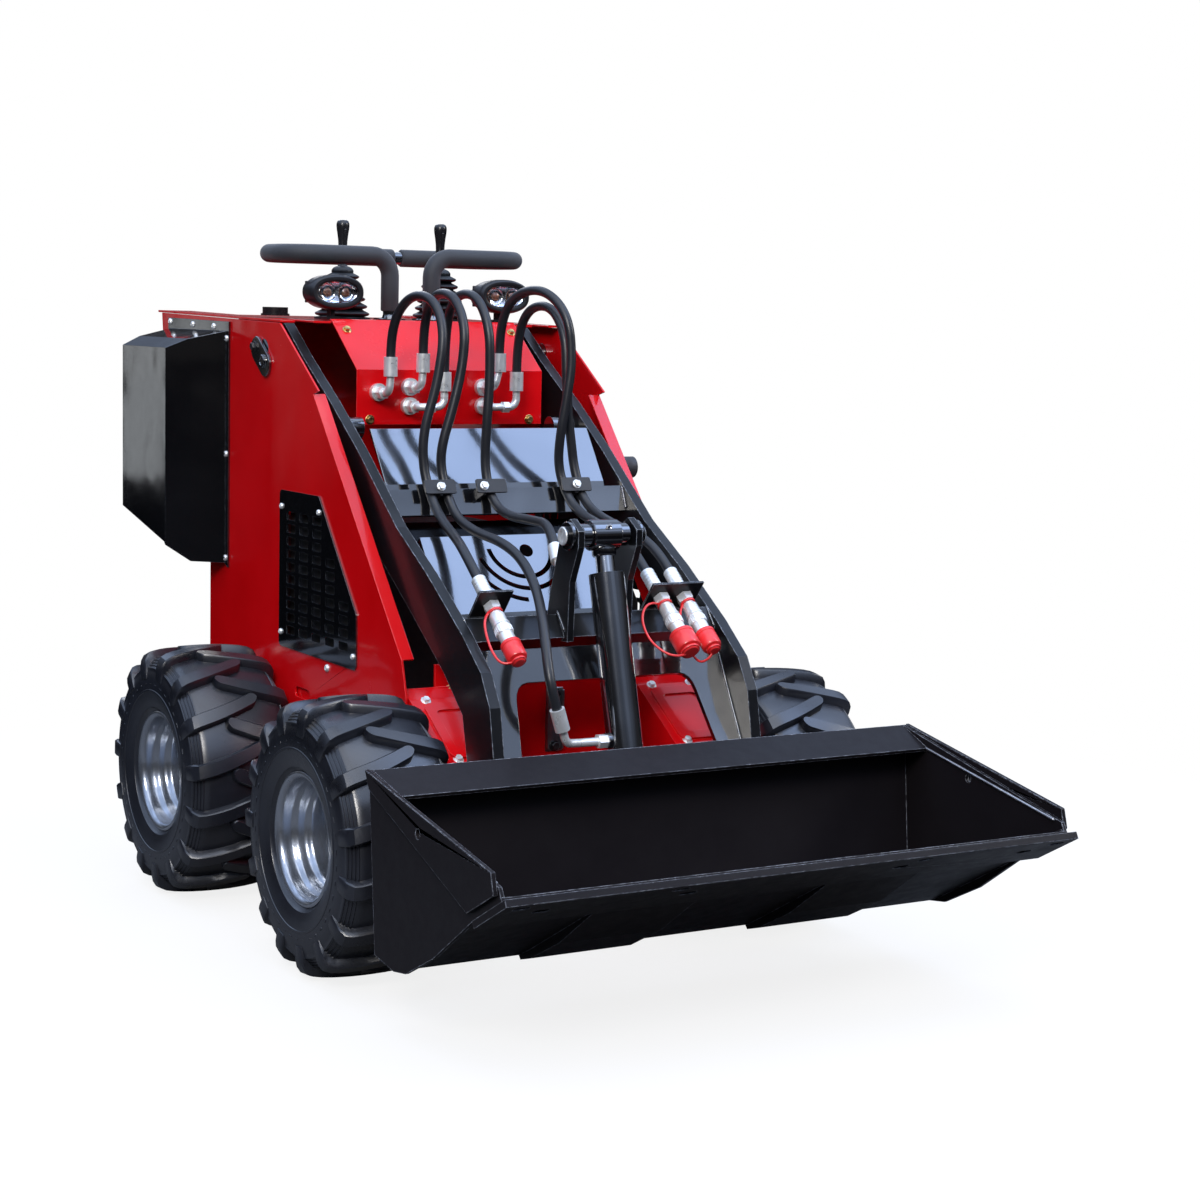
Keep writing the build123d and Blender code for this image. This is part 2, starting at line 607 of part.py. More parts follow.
# ================================================================ lift arm
ARM_OUTLINE = ((400, 1052), (310, 989), (191, 914), (77, 835), (-78, 715), (-198, 645), (-322, 562), (-390, 508),
               (-422, 455), (-441, 357), (-446, 165), (-432, 132), (-400, 119), (-368, 132), (-354, 165), (-352, 340),
               (-330, 430), (-262, 490), (-140, 575), (0, 668), (368, 902), (440, 950), (457, 1005), (440, 1045))
with BuildPart() as arm_plates:
    for side in (-1, 1):
        with BuildSketch(Plane.YZ.offset(side * ARM_X - ARM_T / 2)):
            with BuildLine():
                Polyline(*ARM_OUTLINE, close=True)
            make_face()
            with Locations(ARM_PIVOT):
                Circle(ARM_PIN_R + PIN_FIT, mode=Mode.SUBTRACT)
            with Locations(BUCKET_PIVOT):
                Circle(BUCKET_PIN_R + PIN_FIT, mode=Mode.SUBTRACT)
        extrude(amount=ARM_T)
        # boss that faces the lift cylinder's eye
        with BuildSketch(Plane(origin=(side * (ARM_X - 10), *LIFT_EYE), x_dir=(0, 1, 0), z_dir=(-side, 0, 0))):
            Circle(24)
        extrude(amount=6)
save(arm_plates.part, "arm_plates")

with BuildPart() as arm_cross_bar:
    with BuildSketch(Plane.YZ.offset(-238)):
        with BuildLine():
            Polyline((2, 772), (-17, 728), (-5, 724), (13, 767), close=True)
        make_face()
    extrude(amount=476)
save(arm_cross_bar.part, "arm_cross_bar")

CROSS_TUBE = (-286.0, 552.0, 22.0)      # y, z, half width of the lower cross tube
# quick couplers for a driven attachment: x and cap radius of each; all on parallel axes that start at COUPLER_TOP
COUPLERS = ((-197.0, 17.5), (131.0, 22.0), (178.0, 17.5))
COUPLER_PLATES = ((-229.0, -166.0), (104.0, 206.0))
COUPLER_TOP, COUPLER_DIR = (-262.0, 643.0), unit((0, -0.773, -0.635))
EAR_X, EAR_T = 56.0, 12.0
with BuildPart() as arm_cross_tube:
    with BuildSketch(Plane.YZ.offset(-238)):
        with Locations(CROSS_TUBE[:2]):
            Rectangle(44, 44, rotation=-35)
    extrude(amount=476)
    # two ears carry the tilt cylinder's upper pin
    for side in (-1, 1):
        with BuildSketch(Plane.YZ.offset(side * EAR_X - EAR_T / 2)):
            with BuildLine():
                Polyline((-326, 540), (-250, 535), (-262, 600), (-300, 727), (-328, 745), (-356, 727), (-356, 700), (-330, 640), close=True)
            make_face()
        extrude(amount=EAR_T)
        with BuildSketch(Plane(origin=(side * EAR_X, *TILT_EYE), x_dir=(0, 1, 0), z_dir=(side, 0, 0))):
            Circle(16)
        extrude(amount=20)
    # bracket plates that hold the quick couplers, each with a foot on the tube
    for x0, x1 in COUPLER_PLATES:
        with BuildSketch(Plane.YZ.offset(x0)):
            with BuildLine():
                Polyline((-325.6, 632.1), (-328.7, 629.6), (-291.9, 584.8), (-291.4, 582), (-272, 568.4), (-269.4, 572.1), (-287.5, 584.9), close=True)
            make_face()
        extrude(amount=x1 - x0)
    for x, _ in COUPLERS:
        with BuildSketch(Plane(origin=(x, *COUPLER_TOP), x_dir=(1, 0, 0), z_dir=COUPLER_DIR)):
            Circle(10.1)
        extrude(amount=90, mode=Mode.SUBTRACT)
save(arm_cross_tube.part, "arm_cross_tube")

PORTAL_TOP, PORTAL_BOTTOM, PORTAL_T = (-318.0, 532.0), (-425.0, 335.0), 10.0
portal_dy, portal_dz = PORTAL_BOTTOM[0] - PORTAL_TOP[0], PORTAL_BOTTOM[1] - PORTAL_TOP[1]
portal_len = sqrt(portal_dy ** 2 + portal_dz ** 2)
with BuildPart() as arm_portal:
    # bridge plate between the arms, sloped along their front edges, with its window open at the bottom
    with BuildSketch(Plane(origin=(0, *PORTAL_TOP), x_dir=(1, 0, 0), z_dir=(0, portal_dz / portal_len, -portal_dy / portal_len))):
        with BuildLine():
            Polyline((-238, 0), (238, 0), (238, -portal_len), (194, -portal_len), (174.5, -92), (171.6, -79.5), (166.2, -70), (157.8, -63), (147, -60),
                     (-147, -60), (-157.8, -63), (-166.2, -70), (-171.6, -79.5), (-174.5, -92), (-194, -portal_len), (-238, -portal_len), close=True)
        make_face()
    extrude(amount=-PORTAL_T)
save(arm_portal.part, "arm_portal")

# each coupler: ferrule, nut, body with its sleeve; (from, to, radius, hexagon)
COUPLER_STEPS = ((0, 46, FERRULE_R, False), (46, 55.5, 14, True), (55.5, 60.7, 10, False), (60.7, 74, 15, True),
                 (74, 84, 10.5, False), (84, 104, 13.5, False), (104, 126, 15, False), (126, 148, 13, False))
with BuildPart() as couplers:
    for x, cap_r in COUPLERS:
        for start, stop, radius, hexagon in COUPLER_STEPS:
            with BuildSketch(Plane(origin=(x, *COUPLER_TOP), x_dir=(1, 0, 0), z_dir=COUPLER_DIR).offset(start)):
                if hexagon:
                    RegularPolygon(radius, 6)
                else:
                    Circle(radius)
            extrude(amount=stop - start)
save(couplers.part, "couplers")

with BuildPart() as coupler_caps:
    for x, cap_r in COUPLERS:
        top = Plane(origin=(x, *COUPLER_TOP), x_dir=(1, 0, 0), z_dir=COUPLER_DIR)
        with BuildSketch(top.offset(148)):
            Circle(cap_r)
        extrude(amount=36)
        with BuildSketch(top.offset(184)):
            Circle(cap_r - 6)
        extrude(amount=6)
save(coupler_caps.part, "coupler_caps")

# clamps on the cross bar: x of the middle, then the spacer's x range
CLAMPS = ((-147.0, -149.0, -143.0), (-46.0, -64.0, -58.0), (127.0, 124.0, 130.0))
BAR_FACE = Plane(origin=(0, 2.0, 772.0), x_dir=(1, 0, 0), z_dir=unit((0, -44, 19)))     # the bar's front face, from its top edge
with BuildPart() as hose_clamps:
    for middle, spacer_x0, spacer_x1 in CLAMPS:
        with BuildSketch(BAR_FACE.offset(0.05)):
            with Locations(((spacer_x0 + spacer_x1) / 2, -11)):
                Rectangle(spacer_x1 - spacer_x0, 20)
        extrude(amount=24)
        with BuildSketch(BAR_FACE.offset(23.5)):
            with Locations((middle, -5)):
                Rectangle(60, 26)
        extrude(amount=4)
        with BuildSketch(BAR_FACE.offset(27.5)):
            with Locations(((spacer_x0 + spacer_x1) / 2, -5)):
                RegularPolygon(7, 6)
        extrude(amount=5)
save(hose_clamps.part, "hose_clamps")

# ferrule, bent pipe and boss behind the left ear, where the tilt cylinder's upper hose ends
EAR_HOSE_END, EAR_HOSE_DIR = (-26.0, -215.0, 688.0), unit((-13, -40, -34))
with BuildPart() as ear_fitting:
    end = tuple(p + 40 * d for p, d in zip(EAR_HOSE_END, EAR_HOSE_DIR))
    with BuildSketch(Plane(origin=EAR_HOSE_END, z_dir=EAR_HOSE_DIR)):
        Circle(FERRULE_R - 1)
    extrude(amount=36)
    start = tuple(p + 30 * d for p, d in zip(EAR_HOSE_END, EAR_HOSE_DIR))
    with BuildLine():
        FilletPolyline(start, tuple(p + 48 * d for p, d in zip(EAR_HOSE_END, EAR_HOSE_DIR)), (-34, -288, 640), (-50, -288, 640), radius=[18, 9])
    with BuildSketch(Plane(origin=start, z_dir=EAR_HOSE_DIR)):
        Circle(6)
    sweep()
    with BuildSketch(Plane.YZ.offset(-50)):
        with Locations((-288, 640)):
            RegularPolygon(10, 6)
    extrude(amount=7)
save(ear_fitting.part, "ear_fitting")

# ================================================================ hoses
# hydraulic hoses, each a route of points from its ferrule to the next
HOSE_ROUTES = {
    "hose_1": ((-149, 174, 997), (-149, 174, 1055), (-140, 121, 1108), (-132, 47, 1106), (-130, 0, 1050), (-144, -1, 955),
               (-168, 4, 872), (-167, 4, 808), (-160, -16, 757), (-161, -58, 722), (-168, -125, 698),
               (-197, -262 + 0.77269 * 66, 643 + 0.63475 * 66), (-197, -262, 643)),
    "hose_2": ((-84, 174, 1004), (-84, 174, 1060), (-90, 124, 1112), (-90, 48, 1112), (-90, 0, 1058), (-96, -2, 985),
               (-115, -3, 910), (-133, 0, 850), (-133, 4, 808), (-130, -6, 781.5)),
    "hose_2_lower": ((-130, -6, 781.5), (-127, -16, 755), (-122, -44, 722), (-111, -92, 703), (-95, -155, 692), (-93, -222, 670),
                     (-104, -290, 632), (-122, -345, 592), (-140, -390, 552), (-151, -420, 512), (-149.4, -431.6, 477.6),
                     (-139, -430, 448)),
    "hose_3": ((-40, 174, 971), (-40, 174, 1050), (-47, 126, 1110), (-44, 50, 1114), (-42, 0, 1056), (-41, -2, 970),
               (-47, -4, 885), (-46, 4, 808), (-42, -16, 755), (-34, -54, 728), (-16, -120, 724), (-13, -175, 722),
               (-26, -215, 688)),
    "hose_4": ((73, 174, 1006), (73, 174, 1062), (78, 128, 1116), (96, 52, 1126), (112, -8, 1080), (117, -18, 1000),
               (107, -18, 930), (98, -12, 865), (104, 4, 808), (112, -16, 757), (116, -56, 728), (119, -130, 712),
               (131, -262 + 0.77269 * 72, 643 + 0.63475 * 72), (131, -262, 643)),
    "hose_5": ((110, 174, 972), (110, 174, 1040), (112, 134, 1092), (120, 68, 1096), (123, 20, 1046), (121, 10, 975),
               (124, 6, 900), (131, 4, 850), (137, 4, 808), (142, -16, 757), (149, -56, 726), (158, -130, 708),
               (178, -262 + 0.77269 * 68, 643 + 0.63475 * 68), (178, -262, 643)),
}
for name, route in HOSE_ROUTES.items():
    bends = arc_radii(route)
    hose, length = tube(route, bends, HOSE_R)
    print(name, "length", round(length), "radii", [round(b) for b in bends])
    save(hose, name)

# ================================================================ bucket
BUCKET_PROFILE = ((-509, 391), (-535, 112), (-607, 104), (-640, 122), (-951, 291))   # top of back, heel, lip
t = BUCKET_T
with BuildPart() as bucket_shell:
    # floor, heel and back in one bent plate, with a side wall at each end
    with BuildSketch(Plane.YZ.offset(-BUCKET_X)):
        with BuildLine():
            Polyline((-509, 391), (-535, 112), (-607, 104), (-640, 121), (-930, 281), (-927, 287), (-640, 129),
                     (-607, 111), (-541, 119), (-516.5, 381), (-577, 356.4), (-580, 362), close=True)
        make_face()
    extrude(amount=2 * BUCKET_X)
    for side in (-1, 1):
        lo = BUCKET_X - t if side > 0 else -BUCKET_X
        with BuildSketch(Plane.YZ.offset(lo)):
            with BuildLine():
                Polyline((-509, 391), (-535, 112), (-600, 102), (-640, 108), (-727, 152), (-848, 236), (-930, 281), (-920, 300), close=True)
            make_face()
        extrude(amount=t)
        with BuildSketch(Plane.YZ.offset(side * BUCKET_X - 20)):
            with Locations((-689, 329)):
                Circle(7)
        extrude(amount=40, mode=Mode.SUBTRACT)
    # skids under the floor
    for side in (-1, 1):
        with BuildSketch(Plane.YZ.offset(side * 210 - 90)):
            with BuildLine():
                Polyline((-606, 104.3), (-640, 121.5), (-850, 237.2), (-727, 151), (-642, 107), (-612, 98), close=True)
            make_face()
        extrude(amount=180)
save(bucket_shell.part, "bucket_shell")

with BuildPart() as side_cutters:
    for side in (-1, 1):
        lo = BUCKET_X if side > 0 else -BUCKET_X - 8
        with BuildSketch(Plane.YZ.offset(lo)):
            with BuildLine():
                Polyline((-509, 393), (-911, 320), (-920, 288), (-842, 246), (-742, 283), (-614, 331), (-525, 364), close=True)
            make_face()
            with Locations((-689, 329)):
                Circle(7, mode=Mode.SUBTRACT)
        extrude(amount=8)
save(side_cutters.part, "side_cutters")

# thick wearing plate under the lip, with staggered slots for the bolts of a tooth bar: (x, row)
EDGE_SLOTS = ((-482, 0), (-437, 1), (-221, 0), (-193, 1), (193, 1), (221, 0), (437, 1), (482, 0))
EDGE_X, EDGE_T = 514.0, 12.0
with BuildPart() as cutting_edge:
    with BuildSketch(Plane.YZ.offset(-EDGE_X)):
        with BuildLine():
            Polyline((-852, 237.7), (-945.2, 289.4), (-951, 278.9), (-857.8, 227.5), close=True)
        make_face()
    extrude(amount=2 * EDGE_X)
    for x, row in EDGE_SLOTS:
        with BuildSketch(Plane(origin=(0, -951, 278.9), x_dir=(1, 0, 0), z_dir=(0, 0.4831, 0.8756))):
            with Locations((x, 18 + 28 * row)):
                SlotOverall(27, 13)
        extrude(amount=30, both=True, mode=Mode.SUBTRACT)
save(cutting_edge.part, "cutting_edge")

with BuildPart() as attach_plate:
    # plate on the bucket's back with lugs for the arms and for the tilt cylinder
    with BuildSketch(Plane.YZ.offset(-285)):
        with BuildLine():
            Polyline((-519, 280), (-533, 130), (-521, 129), (-507, 279), close=True)
        make_face()
    extrude(amount=570)
    for x in (-ARM_X - 22, -ARM_X + 22, ARM_X - 22, ARM_X + 22):
        with BuildSketch(Plane.YZ.offset(x - 5)):
            with BuildLine():
                Polyline((-522, 135), (-400, 130), (-372, 165), (-400, 200), (-512, 230), close=True)
            make_face()
            with Locations(BUCKET_PIVOT):
                Circle(BUCKET_PIN_R + PIN_FIT, mode=Mode.SUBTRACT)
        extrude(amount=10)
    for x in (-42, 42):
        with BuildSketch(Plane.YZ.offset(x - 6)):
            with BuildLine():
                Polyline((-521, 215), (-446, 235), (-420, 262), (-446, 288), (-506, 279), close=True)
            make_face()
            with Locations(TILT_BASE):
                Circle(15.05, mode=Mode.SUBTRACT)
        extrude(amount=12)
save(attach_plate.part, "attach_plate")

with BuildPart() as bucket_pins:
    for side in (-1, 1):
        with BuildSketch(Plane.YZ.offset(side * ARM_X - 31)):
            with Locations(BUCKET_PIVOT):
                Circle(BUCKET_PIN_R)
        extrude(amount=62)
    with BuildSketch(Plane.YZ.offset(-52)):
        with Locations(TILT_BASE):
            Circle(15)
    extrude(amount=104)
save(bucket_pins.part, "bucket_pins")

# ================================================================ cylinders
def link_plane(base, eye, x, along=0.0):
    """Plane square to the line from base to eye, 'along' mm up it."""
    dy, dz = eye[0] - base[0], eye[1] - base[1]
    length = sqrt(dy * dy + dz * dz)
    return Plane(origin=(x, base[0] + dy / length * along, base[1] + dz / length * along),
                 x_dir=(1, 0, 0), z_dir=(0, dy / length, dz / length))


def cylinder_barrel(base, eye, x, barrel_r, rod_r, length, eye_r, pin_r, eye_w):
    with BuildPart() as barrel:
        with BuildSketch(link_plane(base, eye, x, eye_r - 4)):
            Circle(barrel_r)
        extrude(amount=length - eye_r + 4)
        with BuildSketch(Plane.YZ.offset(x - eye_w / 2)):
            with Locations(base):
                Circle(eye_r)
        extrude(amount=eye_w)
        with BuildSketch(link_plane(base, eye, x, eye_r + 14)):
            Circle(rod_r + 0.3)
        extrude(amount=length, mode=Mode.SUBTRACT)
        with BuildSketch(Plane.YZ.offset(x - eye_w / 2)):
            with Locations(base):
                Circle(pin_r)
        extrude(amount=eye_w, mode=Mode.SUBTRACT)
    return barrel.part


def cylinder_rod(base, eye, x, rod_r, start, eye_r, eye_w):
    dy, dz = eye[0] - base[0], eye[1] - base[1]
    length = sqrt(dy * dy + dz * dz)
    with BuildPart() as rod:
        with BuildSketch(link_plane(base, eye, x, start)):
            Circle(rod_r)
        extrude(amount=length - start)
        with BuildSketch(Plane.YZ.offset(x - eye_w / 2)):
            with Locations(eye):
                Circle(eye_r)
        extrude(amount=eye_w)
    return rod.part


PORT = (-413.9, 386.0)           # (y, z) of the tilt cylinder's lower oil port, on its right side
with BuildPart() as tilt_barrel:
    add(cylinder_barrel(TILT_BASE, TILT_EYE, 0, 30, 16, 405, 26, 15.05, 60))
    with BuildSketch(Plane.YZ.offset(-36)):
        with Locations(PORT):
            Circle(13)
    extrude(amount=14)
save(tilt_barrel.part, "tilt_barrel")

with BuildPart() as tilt_port:
    # nut, elbow and ferrule that take the hose's end
    with BuildSketch(Plane.YZ.offset(-52)):
        with Locations(PORT):
            RegularPolygon(12, 6)
    extrude(amount=16)
    hose_end, hose_dir = (-139, -430, 448), unit((13, 2, -37))
    with BuildSketch(Plane(origin=hose_end, z_dir=hose_dir)):
        Circle(FERRULE_R)
    extrude(amount=38)
    low = tuple(p + 30 * d for p, d in zip(hose_end, hose_dir))
    corner = tuple(p + 62 * d for p, d in zip(hose_end, hose_dir))
    with BuildLine():
        FilletPolyline(low, corner, (-85, *PORT), (-48, *PORT), radius=[16, 20])
    with BuildSketch(Plane(origin=low, z_dir=hose_dir)):
        Circle(PIPE_R)
    sweep()
save(tilt_port.part, "tilt_port")
with BuildPart() as tilt_rod:
    add(cylinder_rod(TILT_BASE, TILT_EYE, 0, 16, 60, 26, 90))
save(tilt_rod.part, "tilt_rod")
for name, side in SIDES:
    with BuildPart() as lift_barrel:
        add(cylinder_barrel(LIFT_BASE, LIFT_EYE, side * LIFT_X, 22, 12, 430, 24, 12.05, 24))
    save(lift_barrel.part, f"lift_barrel_{name}")
    with BuildPart() as lift_rod:
        add(cylinder_rod(LIFT_BASE, LIFT_EYE, side * LIFT_X, 12, 60, 20, 30))
    save(lift_rod.part, f"lift_rod_{name}")
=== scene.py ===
import random
import bpy
import bmesh
from math import sin, cos, pi, radians, sqrt, atan2
from mathutils import Vector, Matrix


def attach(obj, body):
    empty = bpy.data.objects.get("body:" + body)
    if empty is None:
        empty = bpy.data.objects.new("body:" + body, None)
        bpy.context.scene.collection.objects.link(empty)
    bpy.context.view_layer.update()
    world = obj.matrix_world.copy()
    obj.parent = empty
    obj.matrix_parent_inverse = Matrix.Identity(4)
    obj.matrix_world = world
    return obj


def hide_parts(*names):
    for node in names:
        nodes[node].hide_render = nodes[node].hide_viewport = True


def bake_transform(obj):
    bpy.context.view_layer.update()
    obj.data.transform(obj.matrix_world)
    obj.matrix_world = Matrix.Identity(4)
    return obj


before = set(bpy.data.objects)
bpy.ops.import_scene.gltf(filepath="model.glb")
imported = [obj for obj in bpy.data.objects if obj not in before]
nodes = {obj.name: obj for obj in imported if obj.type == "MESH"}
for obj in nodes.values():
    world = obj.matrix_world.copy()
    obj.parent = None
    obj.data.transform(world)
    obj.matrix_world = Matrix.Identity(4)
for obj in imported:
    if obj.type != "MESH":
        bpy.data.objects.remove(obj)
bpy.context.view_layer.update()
MM = 0.001
random.seed(7)


def V(*p):
    return Vector(p) * MM


# ---------------------------------------------------------------- camera
az, pitch, roll = 0.5429, 0.1177, 0.0232
forward = Vector((sin(az) * cos(pitch), cos(az) * cos(pitch), -sin(pitch)))
level = Vector((cos(az), -sin(az), 0))
up = level.cross(forward)
right2 = cos(roll) * level + sin(roll) * up
up2 = -sin(roll) * level + cos(roll) * up
cam_data = bpy.data.cameras.new("camera")
cam_data.sensor_width = 36
cam_data.lens = 36 * 2404.97 / 1200
cam_data.clip_end = 200
camera = bpy.data.objects.new("camera", cam_data)
bpy.context.scene.collection.objects.link(camera)
cam_m = Matrix.Identity(4)
for i, column in enumerate((right2, up2, -forward)):
    for j in range(3):
        cam_m[j][i] = column[j]
cam_m.translation = V(-2061.4, -3742.4, 1079.5)
camera.matrix_world = cam_m
bpy.context.scene.camera = camera

# ---------------------------------------------------------------- mesh helpers


def new_object(name, mesh):
    ob = bpy.data.objects.new(name, mesh)
    bpy.context.scene.collection.objects.link(ob)
    return ob


def from_bm(name, bm, angle=35):
    bmesh.ops.remove_doubles(bm, verts=bm.verts, dist=1e-6)
    bmesh.ops.recalc_face_normals(bm, faces=bm.faces)
    mesh = bpy.data.meshes.new(name)
    bm.to_mesh(mesh)
    bm.free()
    mesh.shade_smooth()
    mesh.set_sharp_from_angle(angle=radians(angle))
    return new_object(name, mesh)


def axes_for(normal, hint=None):
    n = Vector(normal).normalized()
    h = Vector(hint) if hint else (Vector((0, 0, 1)) if abs(n.z) < 0.9 else Vector((0, 1, 0)))
    x = (h - n * h.dot(n)).normalized()
    return x, n.cross(x), n


def add_lathe(bm, profile, origin, axis, seg=32, hint=None, closed=False):
    """profile: (radius, height) pairs in mm; revolved round axis at origin (mm). An end at radius 0 is a point."""
    x, y, n = axes_for(axis, hint)
    o = Vector(origin) * MM
    rings = []
    for r, h in profile:
        if r < 1e-6:
            rings.append([bm.verts.new(o + n * h * MM)])
        else:
            rings.append([bm.verts.new(o + n * h * MM + (x * cos(2 * pi * i / seg) + y * sin(2 * pi * i / seg)) * r * MM) for i in range(seg)])
    pairs = list(zip(rings, rings[1:]))
    if closed:
        pairs.append((rings[-1], rings[0]))
    for a, b in pairs:
        for i in range(seg):
            j = (i + 1) % seg
            if len(a) == 1 and len(b) == 1:
                continue
            if len(a) == 1:
                bm.faces.new((a[0], b[j], b[i]))
            elif len(b) == 1:
                bm.faces.new((a[i], a[j], b[0]))
            else:
                bm.faces.new((a[i], a[j], b[j], b[i]))
    if not closed:
        for ring in (rings[0], rings[-1]):
            if len(ring) > 1:
                bm.faces.new(ring)


def add_hex(bm, origin, axis, af_r, height, washer_r=0.0, washer_t=1.6, turn=0.0):
    """Hexagon head with chamfered top on a round washer."""
    x, y, n = axes_for(axis)
    o = Vector(origin) * MM
    if washer_r:
        add_lathe(bm, ((washer_r, -1), (washer_r, washer_t - 0.4), (washer_r - 0.5, washer_t), (af_r * 0.8, washer_t)), origin, axis, 20)
    levels = ((af_r, washer_t - 0.2), (af_r, washer_t + height * 0.82), (af_r * 0.88, washer_t + height), (af_r * 0.5, washer_t + height - 0.3))
    rings = []
    for r, h in levels:
        rings.append([bm.verts.new(o + n * h * MM + (x * cos(turn + pi * i / 3) + y * sin(turn + pi * i / 3)) * r * MM) for i in range(6)])
    for a, b in zip(rings, rings[1:]):
        for i in range(6):
            j = (i + 1) % 6
            bm.faces.new((a[i], a[j], b[j], b[i]))
    bm.faces.new(rings[-1])
    bm.faces.new(rings[0])


def add_prism(bm, outline, plane_o, ax, ay, n, depth, edge=0.0):
    """Plate from an outline of (a, b) points in mm, in plane (ax, ay), thick along n; edge = bevel in mm."""
    o = Vector(plane_o) * MM
    def ring(points, h):
        return [bm.verts.new(o + ax * p[0] * MM + ay * p[1] * MM + n * h * MM) for p in points]
    def inset(points, d):
        c = len(points)
        out = []
        area = sum(points[i][0] * points[(i + 1) % c][1] - points[(i + 1) % c][0] * points[i][1] for i in range(c))
        s = 1 if area > 0 else -1
        for i in range(c):
            p0, p1, p2 = Vector(points[i - 1]), Vector(points[i]), Vector(points[(i + 1) % c])
            d1, d2 = (p1 - p0).normalized(), (p2 - p1).normalized()
            n1, n2 = Vector((-d1.y, d1.x)) * s, Vector((-d2.y, d2.x)) * s
            m = (n1 + n2)
            m = m / max(m.length_squared / 2, 0.3)
            out.append(tuple(p1 + m * d))
        return out
    if edge:
        inner = inset(outline, edge)
        rings = [ring(inner, 0), ring(outline, edge), ring(outline, depth - edge), ring(inner, depth)]
    else:
        rings = [ring(outline, 0), ring(outline, depth)]
    c = len(outline)
    for a, b in zip(rings, rings[1:]):
        for i in range(c):
            j = (i + 1) % c
            bm.faces.new((a[i], a[j], b[j], b[i]))
    bm.faces.new(rings[0])
    bm.faces.new(rings[-1])


def add_box(bm, lo, hi, edge=1.0):
    o = (lo[0], lo[1], lo[2])
    w, d, h = hi[0] - lo[0], hi[1] - lo[1], hi[2] - lo[2]
    add_prism(bm, ((0, 0), (w, 0), (w, d), (0, d)), o, Vector((1, 0, 0)), Vector((0, 1, 0)), Vector((0, 0, 1)), h, edge)


def rounded(points, r, n=4):
    """Outline with its corners rounded to radius r (one number, or one for each corner)."""
    out = []
    c = len(points)
    for i in range(c):
        p0, p1, p2 = Vector(points[i - 1]), Vector(points[i]), Vector(points[(i + 1) % c])
        rr = r[i] if isinstance(r, (list, tuple)) else r
        d1, d2 = (p0 - p1), (p2 - p1)
        t = min(rr, d1.length * 0.45, d2.length * 0.45)
        if t < 0.05:
            out.append(tuple(p1))
            continue
        a, b = p1 + d1.normalized() * t, p1 + d2.normalized() * t
        for k in range(n + 1):
            s = k / n
            out.append(tuple(a * (1 - s) ** 2 + p1 * 2 * s * (1 - s) + b * s * s))
    return out


def curve_mesh(name, points, radius, resolution=10, order=3, cyclic=False, bevel_res=5):
    """Round tube along a NURBS line through control points in mm; returns (mesh, its centre line in metres)."""
    cu = bpy.data.curves.new(name, "CURVE")
    cu.dimensions = "3D"
    sp = cu.splines.new("NURBS")
    sp.points.add(len(points) - 1)
    for sp_point, p in zip(sp.points, points):
        sp_point.co = (p[0] * MM, p[1] * MM, p[2] * MM, 1)
    sp.order_u = order
    sp.use_cyclic_u = cyclic
    sp.use_endpoint_u = not cyclic
    sp.resolution_u = resolution
    ob = new_object(name + "_line", cu)
    line = bpy.data.meshes.new_from_object(ob)
    path = [v.co.copy() for v in line.vertices]
    cu.bevel_depth = radius * MM
    cu.bevel_resolution = bevel_res
    cu.use_fill_caps = True
    mesh = bpy.data.meshes.new_from_object(ob)
    mesh.name = name
    bpy.data.objects.remove(ob)
    bm = bmesh.new()
    bm.from_mesh(mesh)
    bmesh.ops.remove_doubles(bm, verts=bm.verts, dist=1e-7)
    bmesh.ops.recalc_face_normals(bm, faces=bm.faces)
    bm.to_mesh(mesh)
    bm.free()
    mesh.shade_smooth()
    mesh.set_sharp_from_angle(angle=radians(50))
    return mesh, path


# ---------------------------------------------------------------- materials
def graph(name):
    m = bpy.data.materials.new(name)
    m.use_nodes = True
    nt = m.node_tree
    bsdf = nt.nodes["Principled BSDF"]
    coord = nt.nodes.new("ShaderNodeTexCoord")
    return m, nt, bsdf, coord.outputs["Object"]


def noise(nt, coord, scale, detail=4.0, rough=0.55, stretch=None):
    n = nt.nodes.new("ShaderNodeTexNoise")
    n.inputs["Scale"].default_value = scale
    n.inputs["Detail"].default_value = detail
    n.inputs["Roughness"].default_value = rough
    if stretch:
        mp = nt.nodes.new("ShaderNodeMapping")
        mp.inputs["Scale"].default_value = stretch
        nt.links.new(coord, mp.inputs["Vector"])
        coord = mp.outputs["Vector"]
    nt.links.new(coord, n.inputs["Vector"])
    return n.outputs["Fac"]


def remap(nt, value, a, b, c, d):
    r = nt.nodes.new("ShaderNodeMapRange")
    r.inputs["From Min"].default_value = a
    r.inputs["From Max"].default_value = b
    r.inputs["To Min"].default_value = c
    r.inputs["To Max"].default_value = d
    nt.links.new(value, r.inputs["Value"])
    return r.outputs["Result"]


def mix_colour(nt, fac, a, b):
    m = nt.nodes.new("ShaderNodeMix")
    m.data_type = "RGBA"
    nt.links.new(fac, m.inputs["Factor"])
    for sock, c in ((m.inputs[6], a), (m.inputs[7], b)):
        if isinstance(c, (tuple, list)):
            sock.default_value = (*c[:3], 1)
        else:
            nt.links.new(c, sock)
    return m.outputs[2]


def math_node(nt, op, a, b=None):
    n = nt.nodes.new("ShaderNodeMath")
    n.operation = op
    for sock, v in zip(n.inputs, (a, b)):
        if v is None:
            continue
        if isinstance(v, (int, float)):
            sock.default_value = v
        else:
            nt.links.new(v, sock)
    return n.outputs[0]


def bump(nt, bsdf, height, strength, distance):
    b = nt.nodes.new("ShaderNodeBump")
    b.inputs["Strength"].default_value = strength
    b.inputs["Distance"].default_value = distance
    nt.links.new(height, b.inputs["Height"])
    nt.links.new(b.outputs["Normal"], bsdf.inputs["Normal"])
    return b


